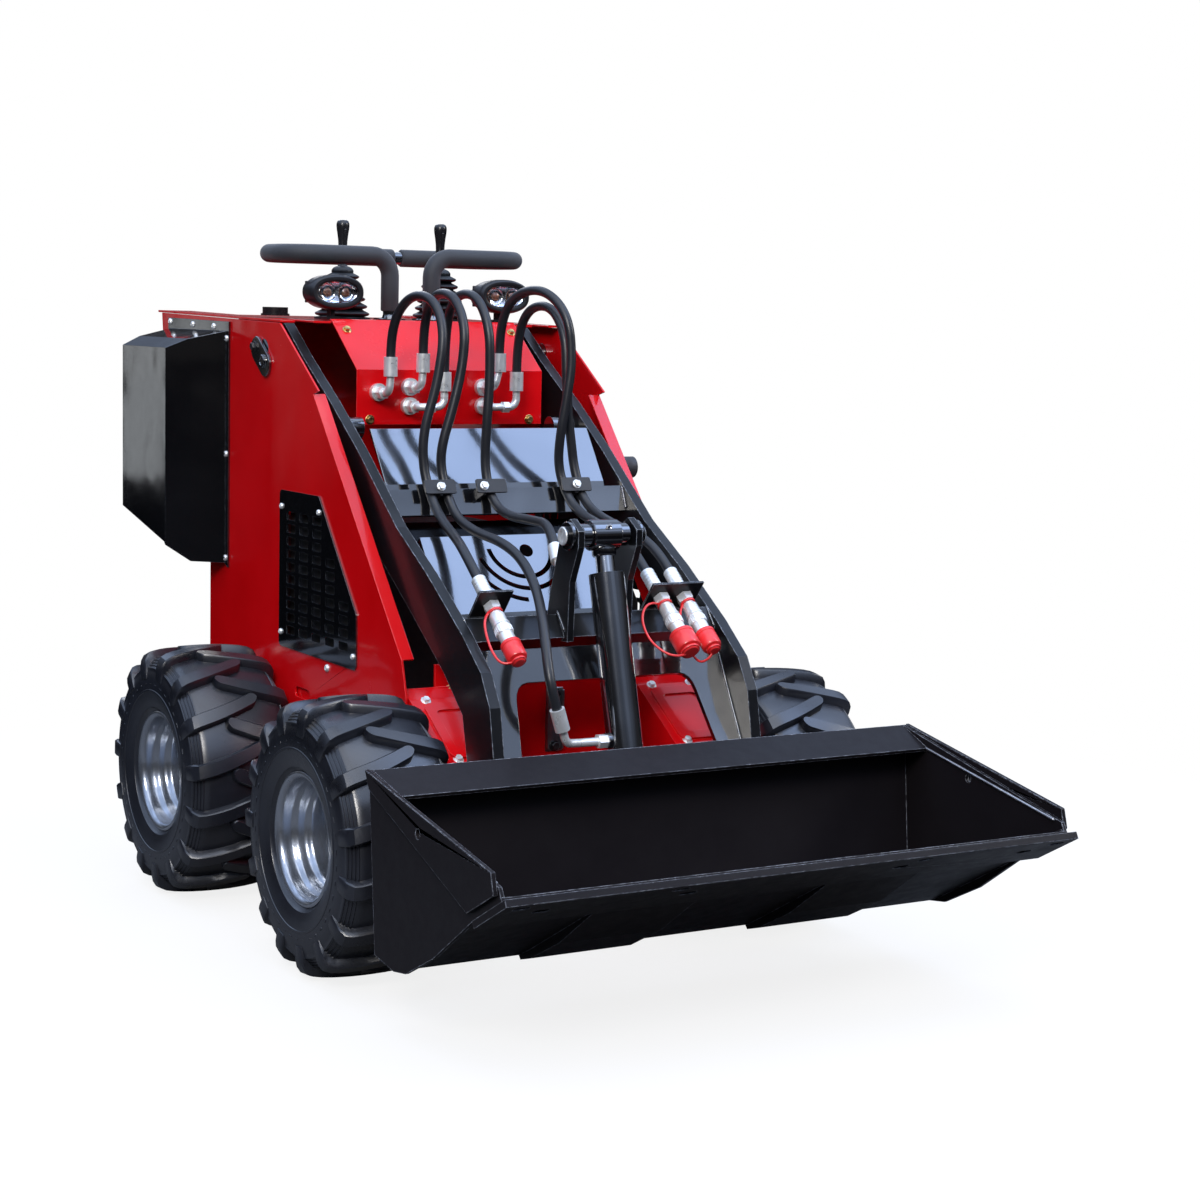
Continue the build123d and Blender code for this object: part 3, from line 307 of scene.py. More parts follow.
def edge_mask(nt, radius, sharp=0.02):
    """1 on an edge within radius of it, 0 on flats: the bevel node's normal against the true one."""
    bev = nt.nodes.new("ShaderNodeBevel")
    bev.samples = 4
    bev.inputs["Radius"].default_value = radius
    geo = nt.nodes.new("ShaderNodeNewGeometry")
    dot = nt.nodes.new("ShaderNodeVectorMath")
    dot.operation = "DOT_PRODUCT"
    nt.links.new(bev.outputs["Normal"], dot.inputs[0])
    nt.links.new(geo.outputs["Normal"], dot.inputs[1])
    return remap(nt, dot.outputs["Value"], 1.0 - sharp, 0.9, 0.0, 1.0)


def paint(name, base, light, rough, coat=1.0, coat_rough=0.04, edge_wear_and_highlight=None, edge_wear_and_highlight_colour=(0.3, 0.3, 0.3), peel=0.25, spec=0.5, coat_ior=1.5, dust=0.0,
          dust_colour=(0.2, 0.18, 0.16), wave=0.0):
    """Powder coat: base colour with a slow drift, orange peel, dulled patches, lightened edges that are partly worn
    paint and partly painted highlight, and dust on what faces up.
    """
    m, nt, b, co = graph(name)
    slow = noise(nt, co, 3.5, 3)
    fine = noise(nt, co, 40, 5, 0.6)
    colour = mix_colour(nt, remap(nt, slow, 0.3, 0.7, 0, 1), base, light)
    r_val = remap(nt, math_node(nt, "ADD", math_node(nt, "MULTIPLY", slow, 0.6), math_node(nt, "MULTIPLY", fine, 0.4)), 0.3, 0.7, rough * 0.75, rough * 1.35)
    if dust:
        geo = nt.nodes.new("ShaderNodeNewGeometry")
        sep = nt.nodes.new("ShaderNodeSeparateXYZ")
        nt.links.new(geo.outputs["Normal"], sep.inputs[0])
        facing = remap(nt, sep.outputs["Z"], 0.55, 1.0, 0.0, dust)
        d = math_node(nt, "MULTIPLY", facing, remap(nt, fine, 0.35, 0.75, 0.2, 1.0))
        colour = mix_colour(nt, d, colour, dust_colour)
    if edge_wear_and_highlight:
        # lightened edges: partly worn paint, partly painted highlight standing in for sky reflected on the edges
        mask = math_node(nt, "MULTIPLY", edge_mask(nt, edge_wear_and_highlight), remap(nt, noise(nt, co, 90, 6, 0.7), 0.42, 0.6, 0.15, 1.0))
        colour = mix_colour(nt, mask, colour, edge_wear_and_highlight_colour)
    nt.links.new(colour, b.inputs["Base Color"])
    nt.links.new(r_val, b.inputs["Roughness"])
    b.inputs["Coat Weight"].default_value = coat
    b.inputs["Coat Roughness"].default_value = coat_rough
    b.inputs["Coat IOR"].default_value = coat_ior
    b.inputs["Specular IOR Level"].default_value = spec
    last = bump(nt, b, noise(nt, co, 420, 2, 0.5), peel, 0.0004)
    if wave:
        # sheet metal is never quite flat
        broad = nt.nodes.new("ShaderNodeBump")
        broad.inputs["Strength"].default_value = 1.0
        broad.inputs["Distance"].default_value = wave
        nt.links.new(noise(nt, co, 9.0, 1, 0.4), broad.inputs["Height"])
        nt.links.new(broad.outputs["Normal"], last.inputs["Normal"])
        nt.links.new(last.outputs["Normal"], b.inputs["Coat Normal"])
    return m


def metal(name, base, dark, rough, aniso_stretch=None, scale=60, bump_strength=0.15, metallic=1.0):
    m, nt, b, co = graph(name)
    n = noise(nt, co, scale, 5, 0.6, aniso_stretch)
    stain = noise(nt, co, 9, 4, 0.6)
    nt.links.new(mix_colour(nt, remap(nt, stain, 0.35, 0.7, 0, 1), base, dark), b.inputs["Base Color"])
    nt.links.new(remap(nt, n, 0.3, 0.7, rough * 0.7, rough * 1.4), b.inputs["Roughness"])
    b.inputs["Metallic"].default_value = metallic
    bump(nt, b, n, bump_strength, 0.0003)
    return m


def rubber(name, base, light, rough, scale=140, strength=0.3, sheen=0.0, streak=None, distance=0.0004):
    m, nt, b, co = graph(name)
    grain = noise(nt, co, scale, 5, 0.65, streak)
    slow = noise(nt, co, 7, 4, 0.6)
    nt.links.new(mix_colour(nt, remap(nt, slow, 0.32, 0.72, 0, 1), base, light), b.inputs["Base Color"])
    nt.links.new(remap(nt, math_node(nt, "ADD", math_node(nt, "MULTIPLY", slow, 0.5), math_node(nt, "MULTIPLY", grain, 0.5)), 0.3, 0.7, rough * 0.8, rough * 1.25), b.inputs["Roughness"])
    b.inputs["Sheen Weight"].default_value = sheen
    bump(nt, b, grain, strength, distance)
    return m


def clear(name, colour, rough, transmission=1.0):
    m, nt, b, co = graph(name)
    nt.links.new(remap(nt, noise(nt, co, 80, 3), 0.3, 0.7, rough * 0.6, rough * 1.5), b.inputs["Roughness"])
    b.inputs["Base Color"].default_value = (*colour, 1)
    b.inputs["Transmission Weight"].default_value = transmission
    b.inputs["IOR"].default_value = 1.49
    return m


# the edge colours below are partly worn paint and partly painted highlight on the edges
RED = paint("red_gloss", (0.60, 0.0015, 0.0035), (0.72, 0.0030, 0.006), 0.22, coat=0.55, spec=0.22, edge_wear_and_highlight=0.0012, edge_wear_and_highlight_colour=(0.80, 0.10, 0.10), peel=0.08, wave=0.0016)
BLACK = paint("black_gloss", (0.0035, 0.0036, 0.0045), (0.006, 0.0062, 0.0075), 0.13, spec=0.95, coat_ior=1.95, edge_wear_and_highlight=0.0011, edge_wear_and_highlight_colour=(0.12, 0.13, 0.15), peel=0.08, wave=0.0012)
BUCKET = paint("black_bucket", (0.0075, 0.0060, 0.0072), (0.0105, 0.0085, 0.0098), 0.46, coat=0.07, coat_rough=0.14, spec=0.13, edge_wear_and_highlight=0.0020,
               edge_wear_and_highlight_colour=(0.40, 0.42, 0.47), peel=0.30)
ARM = paint("black_arm", (0.0030, 0.0031, 0.0040), (0.0055, 0.0057, 0.007), 0.34, coat=0.22, coat_rough=0.10, spec=0.30, edge_wear_and_highlight=0.0022, edge_wear_and_highlight_colour=(0.42, 0.46, 0.52), peel=0.2, wave=0.0010)
SATIN = paint("black_satin", (0.010, 0.010, 0.011), (0.016, 0.016, 0.018), 0.42, coat=0.25, coat_rough=0.3, peel=0.2)
RIM = paint("rim_silver", (0.30, 0.325, 0.37), (0.38, 0.405, 0.45), 0.22, coat=0.6, coat_rough=0.10, edge_wear_and_highlight=0.0014, edge_wear_and_highlight_colour=(0.55, 0.57, 0.6), peel=0.35)
RIM.node_tree.nodes["Principled BSDF"].inputs["Metallic"].default_value = 0.85
ZINC = metal("zinc_plate", (0.93, 0.94, 0.93), (0.80, 0.81, 0.81), 0.34, metallic=0.62)
BRASS = metal("yellow_zinc", (0.78, 0.56, 0.22), (0.55, 0.36, 0.14), 0.28)
STEEL = metal("bare_steel", (0.36, 0.37, 0.38), (0.20, 0.20, 0.21), 0.38, scale=120)
CHROME = metal("hard_chrome", (0.82, 0.83, 0.85), (0.70, 0.71, 0.74), 0.09, aniso_stretch=(1, 1, 0.1), scale=200, bump_strength=0.04)
ENGINE = metal("engine_dark", (0.055, 0.055, 0.06), (0.025, 0.025, 0.028), 0.55, bump_strength=0.5, metallic=0.5)
WELD = metal("weld_bead", (0.42, 0.42, 0.44), (0.16, 0.15, 0.15), 0.34, scale=90, bump_strength=0.6)
TYRE = rubber("tyre_rubber", (0.0058, 0.0062, 0.0090), (0.0135, 0.0150, 0.0215), 0.30, scale=260, strength=0.35)
TYRE.node_tree.nodes["Principled BSDF"].inputs["Specular IOR Level"].default_value = 0.85
HOSE = rubber("hose_rubber", (0.010, 0.0105, 0.013), (0.019, 0.0198, 0.024), 0.36, scale=500, strength=0.25)
FOAM = rubber("foam_sleeve", (0.022, 0.024, 0.029), (0.036, 0.039, 0.046), 0.66, scale=900, strength=0.6, sheen=0.15)
BOOT = rubber("boot_rubber", (0.010, 0.0105, 0.012), (0.017, 0.018, 0.020), 0.46, scale=420, strength=0.3)
# near-black sheet material: painted shade for the shaded space behind the grilles
SHADE_SHEET = rubber("painted_shade_sheet", (0.003, 0.003, 0.0035), (0.005, 0.005, 0.006), 0.8, scale=300, strength=0.5)
CAP = rubber("red_cap", (0.72, 0.018, 0.02), (0.82, 0.03, 0.032), 0.36, scale=300, strength=0.2)
CAP.node_tree.nodes["Principled BSDF"].inputs["Coat Weight"].default_value = 0.3
PLASTIC = rubber("black_plastic", (0.008, 0.008, 0.009), (0.013, 0.013, 0.015), 0.26, scale=350, strength=0.12)
LAMP = rubber("lamp_body", (0.010, 0.010, 0.012), (0.018, 0.018, 0.021), 0.34, scale=300, strength=0.15)
LENS = clear("lamp_lens", (0.95, 0.97, 1.0), 0.03)
GLASS = clear("gauge_glass", (0.9, 0.95, 0.95), 0.04)
AMBER = paint("lamp_emitter", (0.42, 0.10, 0.05), (0.30, 0.16, 0.10), 0.20)
REFLECTOR = metal("reflector", (0.9, 0.9, 0.92), (0.75, 0.75, 0.78), 0.12, bump_strength=0.05)


def dress(ob, material, body=None, replaces=()):
    ob.data.materials.clear()
    ob.data.materials.append(material)
    if body:
        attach(ob, body)
    if replaces:
        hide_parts(*replaces)
    return ob


# ---------------------------------------------------------------- hoses
ROUTES = {
    "hose_1": ((-149, 174, 997), (-149, 174, 1055), (-140, 121, 1108), (-132, 47, 1106), (-130, 0, 1050), (-144, -1, 955),
               (-168, 4, 872), (-167, 4, 808), (-160, -16, 757), (-161, -58, 722), (-168, -125, 698),
               (-197, -262 + 0.77269 * 66, 643 + 0.63475 * 66), (-197, -262, 643)),
    "hose_2": ((-84, 174, 1004), (-84, 174, 1060), (-90, 124, 1112), (-90, 48, 1112), (-90, 0, 1058), (-96, -2, 985),
               (-115, -3, 910), (-133, 0, 850), (-133, 4, 808), (-130, -6, 781.5)),
    "hose_2_lower": ((-130, -6, 781.5), (-127, -16, 755), (-122, -44, 722), (-111, -92, 703), (-95, -155, 692), (-93, -222, 670),
                     (-104, -290, 632), (-122, -345, 592), (-140, -390, 552), (-151, -420, 512), (-149.4, -431.6, 477.6),
                     (-139, -430, 448)),
    "hose_3": ((-40, 174, 971), (-40, 174, 1050), (-47, 126, 1110), (-44, 50, 1114), (-42, 0, 1056), (-41, -2, 970),
               (-47, -4, 885), (-46, 4, 808), (-42, -16, 755), (-34, -54, 728), (-16, -120, 724), (-13, -175, 722),
               (-26, -215, 688)),
    "hose_4": ((73, 174, 1006), (73, 174, 1062), (78, 128, 1116), (96, 52, 1126), (112, -8, 1080), (117, -18, 1000),
               (107, -18, 930), (98, -12, 865), (104, 4, 808), (112, -16, 757), (116, -56, 728), (119, -130, 712),
               (131, -262 + 0.77269 * 72, 643 + 0.63475 * 72), (131, -262, 643)),
    "hose_5": ((110, 174, 972), (110, 174, 1040), (112, 134, 1092), (120, 68, 1096), (123, 20, 1046), (121, 10, 975),
               (124, 6, 900), (131, 4, 850), (137, 4, 808), (142, -16, 757), (149, -56, 726), (158, -130, 708),
               (178, -262 + 0.77269 * 68, 643 + 0.63475 * 68), (178, -262, 643)),
}
BENDS = {
    "hose_1": ("chassis", "lift_arm", (-149, 174, 997), (-167, 4, 812)),
    "hose_2": ("chassis", "lift_arm", (-84, 174, 1004), (-133, 4, 815)),
    "hose_2_lower": ("tilt_rod_body", "tilt_barrel_body", (-127, -16, 755), (-139, -430, 452)),
    "hose_3": ("chassis", "lift_arm", (-40, 174, 971), (-46, 4, 812)),
    "hose_4": ("chassis", "lift_arm", (73, 174, 1006), (104, 4, 812)),
    "hose_5": ("chassis", "lift_arm", (110, 174, 972), (137, 4, 812)),
}
for name, route in ROUTES.items():
    if name not in nodes:
        continue
    mesh, path = curve_mesh(name + "_tube", route, 8.5, resolution=14, bevel_res=6)
    tube = new_object(name + "_tube", mesh)
    dress(tube, HOSE, replaces=(name,))
    a, b, start, end = BENDS[name]
    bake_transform(tube)

# ---------------------------------------------------------------- wheels
FRONT_Y, REAR_Y, TRACK, AXLE_Z = -236, 406, 409, 228.5
WHEELS = (("front_right", -1, FRONT_Y), ("front_left", 1, FRONT_Y), ("rear_right", -1, REAR_Y), ("rear_left", 1, REAR_Y))

# half of the carcass section: offset from the tyre's middle, radius
SIDEWALL = [(66, 102.5), (73, 101.6), (79.5, 106), (86.5, 110.2), (89.0, 113.5), (92.5, 117.2), (94.0, 118.0), (94.8, 121), (96.5, 126), (98.8, 134),
            (100.6, 145), (100.9, 146.5), (102.0, 147.2), (102.2, 150), (101.4, 151.0), (101.6, 158), (101.4, 168), (100.6, 176), (99.0, 183)]
ribs = []
for k in range(4):
    for t, h in ((0.12, 0.0), (0.24, 1.9), (0.62, 1.9), (0.74, 0.0)):
        s = (k + t) / 4
        ribs.append((98.3 - 17.5 * s + 0.6 * h, 188 + 18.5 * s + 0.8 * h))
CROWN = [(79, 207.3), (70, 209.2), (55, 211.3), (38, 212.9), (20, 213.9), (0, 214.2)]
half = SIDEWALL + ribs + CROWN
inner = [(-66, 104), (-72, 122), (-86, 140), (-90, 165), (-86, 190), (-62, 203), (0, 207), (62, 203), (86, 190), (90, 165), (86, 140), (72, 122), (66, 104)]
TYRE_RING = half + [(-x, r) for x, r in half[-2::-1]] + inner

# top of a lug along its length, and how far its block stands off the carcass
LUG_TOP = ((102.6, 172, 0), (103.0, 184, 0), (102.6, 196, 0), (100.2, 207, 0), (94.5, 216.5, 0), (84, 221.8, 0.6), (70, 224.6, 1.4), (54, 226.4, 2.4),
           (38, 227.5, 3.6), (22, 228.1, 5.0), (6, 228.35, 6.5), (-8, 228.3, 8.0), (-20, 228.1, 9.3))
LUG_BASE = ((97, 172), (97.5, 180), (95.5, 186), (91, 193), (85, 200), (77, 204.5), (66, 208), (52, 209.5), (36, 211), (20, 212), (6, 212), (-8, 212), (-20, 212))


def add_lug(bm, flip, side_sign, base_angle):
    """One curved bar with a blunt block on the shoulder and a round inner end. flip: which shoulder it starts from."""
    rings = []
    steps = []
    for i, (top, low) in enumerate(zip(LUG_TOP, LUG_BASE)):
        half_w = 15.5 if i < 4 else 14.0 - 0.15 * (i - 4)
        steps.append((top[0], top[1], low[0], low[1], top[2], half_w))
    # round inner end
    end = steps[-1]
    for k in (0.35, 0.62, 0.82, 0.95, 1.0):
        w = end[5] * sqrt(max(0.0, 1 - k * k))
        steps.append((end[0] - 13 * k, end[1] - 0.1, end[2] - 13 * k, end[3], end[4] + 1.1 * k, max(w, 1.2)))
    for x, r, xb, rb, drift, w in steps:
        angle = base_angle + radians(drift) * side_sign
        ring = []
        lead = 3.0
        for dx, rr, ww in ((xb, rb - 1.0, w + lead), (x - (x - xb) * 0.18, r - (r - rb) * 0.18, w + 0.6), (x, r, w - 2.0), (x, r + 0.0, 0), (x, r, -(w - 2.0)),
                           (x - (x - xb) * 0.18, r - (r - rb) * 0.18, -(w + 0.6)), (xb, rb - 1.0, -(w + lead))):
            a = angle + ww / 226.0
            ring.append(bm.verts.new(Vector((flip * dx, rr * sin(a), rr * cos(a))) * MM))
        rings.append(ring)
    for a, b in zip(rings, rings[1:]):
        for i in range(len(a)):
            j = (i + 1) % len(a)
            bm.faces.new((a[i], a[j], b[j], b[i]))
    bm.faces.new(rings[0])
    bm.faces.new(rings[-1])


def make_tyre(name, side, y, phase):
    bm = bmesh.new()
    add_lathe(bm, [(r, x) for x, r in TYRE_RING], (0, 0, 0), (1, 0, 0), 120, closed=True)
    count = 15
    for k in range(count):
        add_lug(bm, 1, 1, 2 * pi * k / count + phase)
        add_lug(bm, -1, 1, 2 * pi * (k + 0.5) / count + phase)
    # fine moulding line and small studs round the side wall
    for flip in (-1, 1):
        for k in range(40):
            a = 2 * pi * (k + 0.5) / 40
            c = Vector((flip * 101.2, 161 * sin(a), 161 * cos(a)))
            t = Vector((0, cos(a), -sin(a)))
            rad = Vector((0, sin(a), cos(a)))
            quad = [c + t * u * 5 + rad * v * 1.2 for u, v in ((-1, -1), (1, -1), (1, 1), (-1, 1))]
            low = [bm.verts.new(q * MM) for q in quad]
            high = [bm.verts.new((q + Vector((flip * 1.0, 0, 0)) - (q - c) * 0.15) * MM) for q in quad]
            for i in range(4):
                j = (i + 1) % 4
                bm.faces.new((low[i], low[j], high[j], high[i]))
            bm.faces.new(high)
            bm.faces.new(low)
    bmesh.ops.translate(bm, verts=bm.verts, vec=V(side * TRACK, y, AXLE_Z))
    return from_bm(name, bm, 32)


RIM_RING = [(-60, 92), (-60, 94.5), (-72, 96.5), (-83, 98.5), (-87.5, 103), (-89, 108), (-86.5, 111), (-82, 110), (-79, 106), (-72, 100.4), (-62, 100.2),
            (62, 100.2), (72, 100.4), (79, 106), (82, 110), (85, 111.2), (88.2, 110.6), (89.6, 108.2), (89.2, 105.2), (86.8, 101.2), (84, 98.8), (80, 97.2), (73, 96.2),
            (66, 95.2), (62.5, 93.6), (59, 90.6), (55, 88.8), (48, 88.0), (43, 86.6), (40, 84.2), (37.5, 81.4), (33, 79.9), (8, 78.6), (-8, 78.0), (-14, 76.6),
            (-18, 73), (-19.6, 68), (-20, 44), (-20, 36), (-26, 36), (-26, 80), (-20, 83.4), (34, 86.6), (52, 93)]


def make_wheel(corner, side, y, phase):
    tyre = make_tyre("bar_lug_tyre_" + corner, side, y, phase)
    dress(tyre, TYRE, "wheel_" + corner, ("tyre_" + corner,))
    bm = bmesh.new()
    add_lathe(bm, [(r, x * side) for x, r in RIM_RING], (side * TRACK, y, AXLE_Z), (1, 0, 0), 96, closed=True)
    rim = from_bm("deep_rim_" + corner, bm, 42)
    dress(rim, RIM, "wheel_" + corner, ("rim_" + corner,))
    out = (side, 0, 0)
    bm = bmesh.new()
    c = (side * TRACK, y, AXLE_Z)
    add_lathe(bm, ((20, -113), (20, -48), (34, -48), (34, -38), (70, -38), (70, -26.1), (36, -26.1), (35.4, -10), (33.5, -7), (30, -5.5), (12, -5), (9, -7), (0, -7)), c, out, 48)
    for k in range(5):
        a = 2 * pi * k / 5
        p = (c[0] - side * 20, y + 57 * cos(a), AXLE_Z + 57 * sin(a))
        add_lathe(bm, ((12.5, -0.5), (12.5, 1.5), (9.5, 5.5)), p, out, 20)
        add_hex(bm, (p[0] + side * 4, p[1], p[2]), out, 10.5, 14)
        add_lathe(bm, ((6.2, 10), (6.2, 24), (5.2, 26), (0, 26)), p, out, 14)
    dress(from_bm("wheel_hub_" + corner, bm, 35), STEEL, "wheel_" + corner, ("rim_" + corner,))
    bm = bmesh.new()
    v, lean = (side * (TRACK + 44), y - 88, AXLE_Z + 8), (side * 26, 22, 0)
    add_lathe(bm, ((7, -3), (7, 3), (4.6, 6), (4.2, 18)), v, lean, 16)
    dress(from_bm("valve_stem_" + corner, bm, 35), BOOT, "wheel_" + corner, ("rim_" + corner,))
    bm = bmesh.new()
    add_lathe(bm, ((3.4, 18), (3.4, 22), (4.4, 22.6), (4.4, 31), (3.6, 32), (0, 32)), v, lean, 16)
    dress(from_bm("valve_cap_" + corner, bm, 35), BRASS, "wheel_" + corner, ("rim_" + corner,))


for k, (corner, side, y) in enumerate(WHEELS):
    make_wheel(corner, side, y, (0.11, 0.29, 0.05, 0.2)[k])

# ---------------------------------------------------------------- controls on the hood
LEVER_X, LEVER_Y = 104, 480


def fillet_path(points, radii, n=8):
    out = [Vector(points[0])]
    for p0, p1, p2, r in zip(points, points[1:], points[2:], radii):
        p0, p1, p2 = Vector(p0), Vector(p1), Vector(p2)
        u, v = (p0 - p1).normalized(), (p2 - p1).normalized()
        half_angle = u.angle(v) / 2
        t = r / math_tan(half_angle)
        centre = p1 + (u + v).normalized() * (r / sin(half_angle))
        a, b = p1 + u * t - centre, p1 + v * t - centre
        w = a.angle(b)
        for k in range(n + 1):
            s = k / n
            out.append(centre + a * (sin((1 - s) * w) / sin(w)) + b * (sin(s * w) / sin(w)))
    out.append(Vector(points[-1]))
    return out


def math_tan(x):
    return sin(x) / cos(x)


def add_tube(bm, path, radius, seg=20, round_end=0.0):
    """Round bar along a list of points in mm; round_end rounds both ends over that length."""
    pts = [Vector(p) for p in path]
    radii = [radius] * len(pts)
    if round_end:
        d0, d1 = (pts[1] - pts[0]).normalized(), (pts[-2] - pts[-1]).normalized()
        pts = [pts[0], pts[0] + d0 * round_end * 0.3, pts[0] + d0 * round_end] + pts[1:-1] + [pts[-1] + d1 * round_end, pts[-1] + d1 * round_end * 0.3, pts[-1]]
        radii = [radius * 0.8, radius * 0.94] + [radius] * (len(pts) - 4) + [radius * 0.94, radius * 0.8]
    ref = None
    rings = []
    for i, p in enumerate(pts):
        t = (pts[min(i + 1, len(pts) - 1)] - pts[max(i - 1, 0)]).normalized()
        if ref is None:
            ref = t.orthogonal().normalized()
        ref = (ref - t * ref.dot(t)).normalized()
        side_v = t.cross(ref)
        rings.append([bm.verts.new((p + (ref * cos(2 * pi * k / seg) + side_v * sin(2 * pi * k / seg)) * radii[i]) * MM) for k in range(seg)])
    for a, b in zip(rings, rings[1:]):
        for k in range(seg):
            j = (k + 1) % seg
            bm.faces.new((a[k], a[j], b[j], b[k]))
    bm.faces.new(rings[0])
    bm.faces.new(rings[-1])


HOOP = ((-44, 397, 1060.4), (-44, 397, 1182), (-247, 397, 1182), (-247, 547, 1182), (247, 547, 1182), (247, 397, 1182), (44, 397, 1182), (44, 397, 1060.4))
hoop_line = fillet_path(HOOP, (38, 60, 60, 60, 60, 38))
# bare steel loop, with two foam sleeves that leave a gap in the rear bar and at the feet
bm = bmesh.new()
add_tube(bm, hoop_line, 12.5, 20)
for x in (-44, 44):
    add_lathe(bm, ((30, 0), (30, 4), (28.8, 5.2), (16, 5.2), (14, 7.5), (12.6, 12)), (x, 397, 1059.8), (0, 0, 1), 32)
hoop = from_bm("hoop_tube", bm, 40)
dress(hoop, BLACK, "chassis", ("hand_hoop",))
bm = bmesh.new()
split = [i for i, p in enumerate(hoop_line) if p.y > 546.9]
before = [p for p in hoop_line[1:split[0] + 1]]
after = [p for p in hoop_line[split[-1]:-1]]
add_tube(bm, [Vector((-44, 397, 1078))] + before + [Vector((34, 547, 1182))], 17, 26, round_end=3)
add_tube(bm, [Vector((50, 547, 1182))] + after + [Vector((44, 397, 1078))], 17, 26, round_end=3)
foam = from_bm("hoop_foam", bm, 60)
dress(foam, FOAM, "chassis", ("hand_hoop",))

for side, sname in ((-1, "right"), (1, "left")):
    bm = bmesh.new()
    profile = [(53, 0), (53, 3), (52.5, 4.5), (49, 5)]
    for k in range(6):
        z0, outer = 5.6 + k * 14.0, 52.0 - 4.0 * k
        profile += [(outer - 9.5, z0), (outer - 2.2, z0 + 2.4), (outer - 0.5, z0 + 4.2), (outer, z0 + 5.8), (outer - 1.2, z0 + 7.4), (outer - 6, z0 + 9.8),
                    (outer - 11.5, z0 + 12.4)]
    profile += [(21, 90.5), (20.5, 94), (17, 98), (12, 100.5), (9.5, 101), (9, 103), (7, 104), (0, 104)]
    add_lathe(bm, profile, (side * LEVER_X, LEVER_Y, 1060.9), (0, 0, 1), 48)
    dress(from_bm("bellows_" + sname, bm, 50), BOOT, "chassis", ("lever_boots",))
    bm = bmesh.new()
    add_lathe(bm, ((6, 0), (6, 48), (8.6, 50), (9.0, 53), (8.4, 58), (8.8, 68), (10.2, 80), (11.8, 90), (12.4, 96), (12.2, 101), (10.4, 105.5), (7, 107.6), (0, 108.2)),
              (side * LEVER_X, LEVER_Y, 1141), (0, 0, 1), 32)
    # thumb ridge on the grip
    add_tube(bm, [(side * LEVER_X, LEVER_Y - 8.2, 1196), (side * LEVER_X, LEVER_Y - 9.6, 1214), (side * LEVER_X, LEVER_Y - 10.8, 1232)], 2.6, 10, round_end=2)
    dress(from_bm("lever_" + sname, bm, 40), PLASTIC, "chassis", ("control_levers",))


def add_oval(bm, sections, origin, axis=(0, 1, 0), seg=48, power=2.3):
    """Loft of superellipse rings (a, b, along) in mm, a along X and b along Z."""
    rings = []
    o = Vector(origin)
    for a, b, h in sections:
        ring = []
        for k in range(seg):
            t = 2 * pi * k / seg
            c, s = cos(t), sin(t)
            x = a * (abs(c) ** (2 / power)) * (1 if c >= 0 else -1)
            z = b * (abs(s) ** (2 / power)) * (1 if s >= 0 else -1)
            ring.append(bm.verts.new((o + Vector((x, 0, z)) + Vector(axis) * h) * MM))
        rings.append(ring)
    for a, b in zip(rings, rings[1:]):
        for k in range(seg):
            j = (k + 1) % seg
            bm.faces.new((a[k], a[j], b[j], b[k]))
    bm.faces.new(rings[0])
    bm.faces.new(rings[-1])


LAMP_X, LAMP_Y, LAMP_Z = 176, 374, 1111
for side, sname in ((-1, "right"), (1, "left")):
    o = (side * LAMP_X, LAMP_Y, LAMP_Z)
    bm = bmesh.new()
    add_oval(bm, ((30, 16, 31), (42, 23, 28), (49, 28.5, 20), (53, 31.5, 6), (54, 32.5, -10), (54, 32.5, -22), (52.5, 31, -30), (49.5, 28.2, -33.5), (45, 24, -34),
                  (42, 21.2, -33), (41, 20.2, -31), (40.6, 19.8, -22), (40, 19, -20)), o)
    # cooling fins behind
    for k in range(7):
        add_box(bm, (o[0] - 38 + k * 12, o[1] + 20, o[2] - 20), (o[0] - 34.5 + k * 12, o[1] + 33, o[2] + 20), 0.8)
    # bracket and foot
    add_box(bm, (o[0] - 14, o[1] - 12, 1060.6), (o[0] + 14, o[1] + 14, 1067), 1)
    add_box(bm, (o[0] - 4, o[1] - 9, 1066), (o[0] + 4, o[1] + 9, 1082), 1)
    dress(from_bm("lamp_pod_" + sname, bm, 38), LAMP, "chassis", ("headlamps",))
    bm = bmesh.new()
    add_oval(bm, ((40.2, 19.4, -20.6), (40.2, 19.4, -22.4), (39.4, 18.6, -23.0), (37.6, 17.2, -22.6), (36.8, 16.6, -22.2)), o)
    for dx in (-18, 18):
        c = (o[0] + dx, o[1] - 22.3, o[2])
        add_lathe(bm, ((15.6, -0.4), (16.0, 1.0), (15.6, 2.4), (14.6, 2.6), (13.6, 1.2), (10.5, 0.3), (7, 0.2)), c, (0, -1, 0), 40, closed=False)
    dress(from_bm("lamp_reflectors_" + sname, bm, 40), REFLECTOR, "chassis", ("headlamps",))
    bm = bmesh.new()
    for dx in (-18, 18):
        c = (o[0] + dx, o[1] - 22.3, o[2])
        add_lathe(bm, ((7.6, 0.1), (7.6, 0.9), (5.8, 2.4), (3.2, 3.4), (0, 3.7)), c, (0, -1, 0), 24)
    dress(from_bm("lamp_emitters_" + sname, bm, 40), AMBER, "chassis", ("headlamps",))
    bm = bmesh.new()
    add_oval(bm, ((40.4, 19.6, -28.2), (40.4, 19.6, -29.4), (38, 18, -31.4), (30, 13.5, -33.0), (16, 7, -33.8), (5, 2, -34)), o)
    dress(from_bm("lamp_lenses_" + sname, bm, 60), LENS, "chassis", ("headlamps",))

# ---------------------------------------------------------------- quick couplers
COUPLERS = ((-197, 17.5), (131, 22), (178, 17.5))
COUPLER_TOP = Vector((0, -262, 643))
COUPLER_DIR = Vector((0, -0.773, -0.635)).normalized()


def on_coupler(x, s, off=(0, 0, 0)):
    return COUPLER_TOP + COUPLER_DIR * s + Vector((x, 0, 0)) + Vector(off)


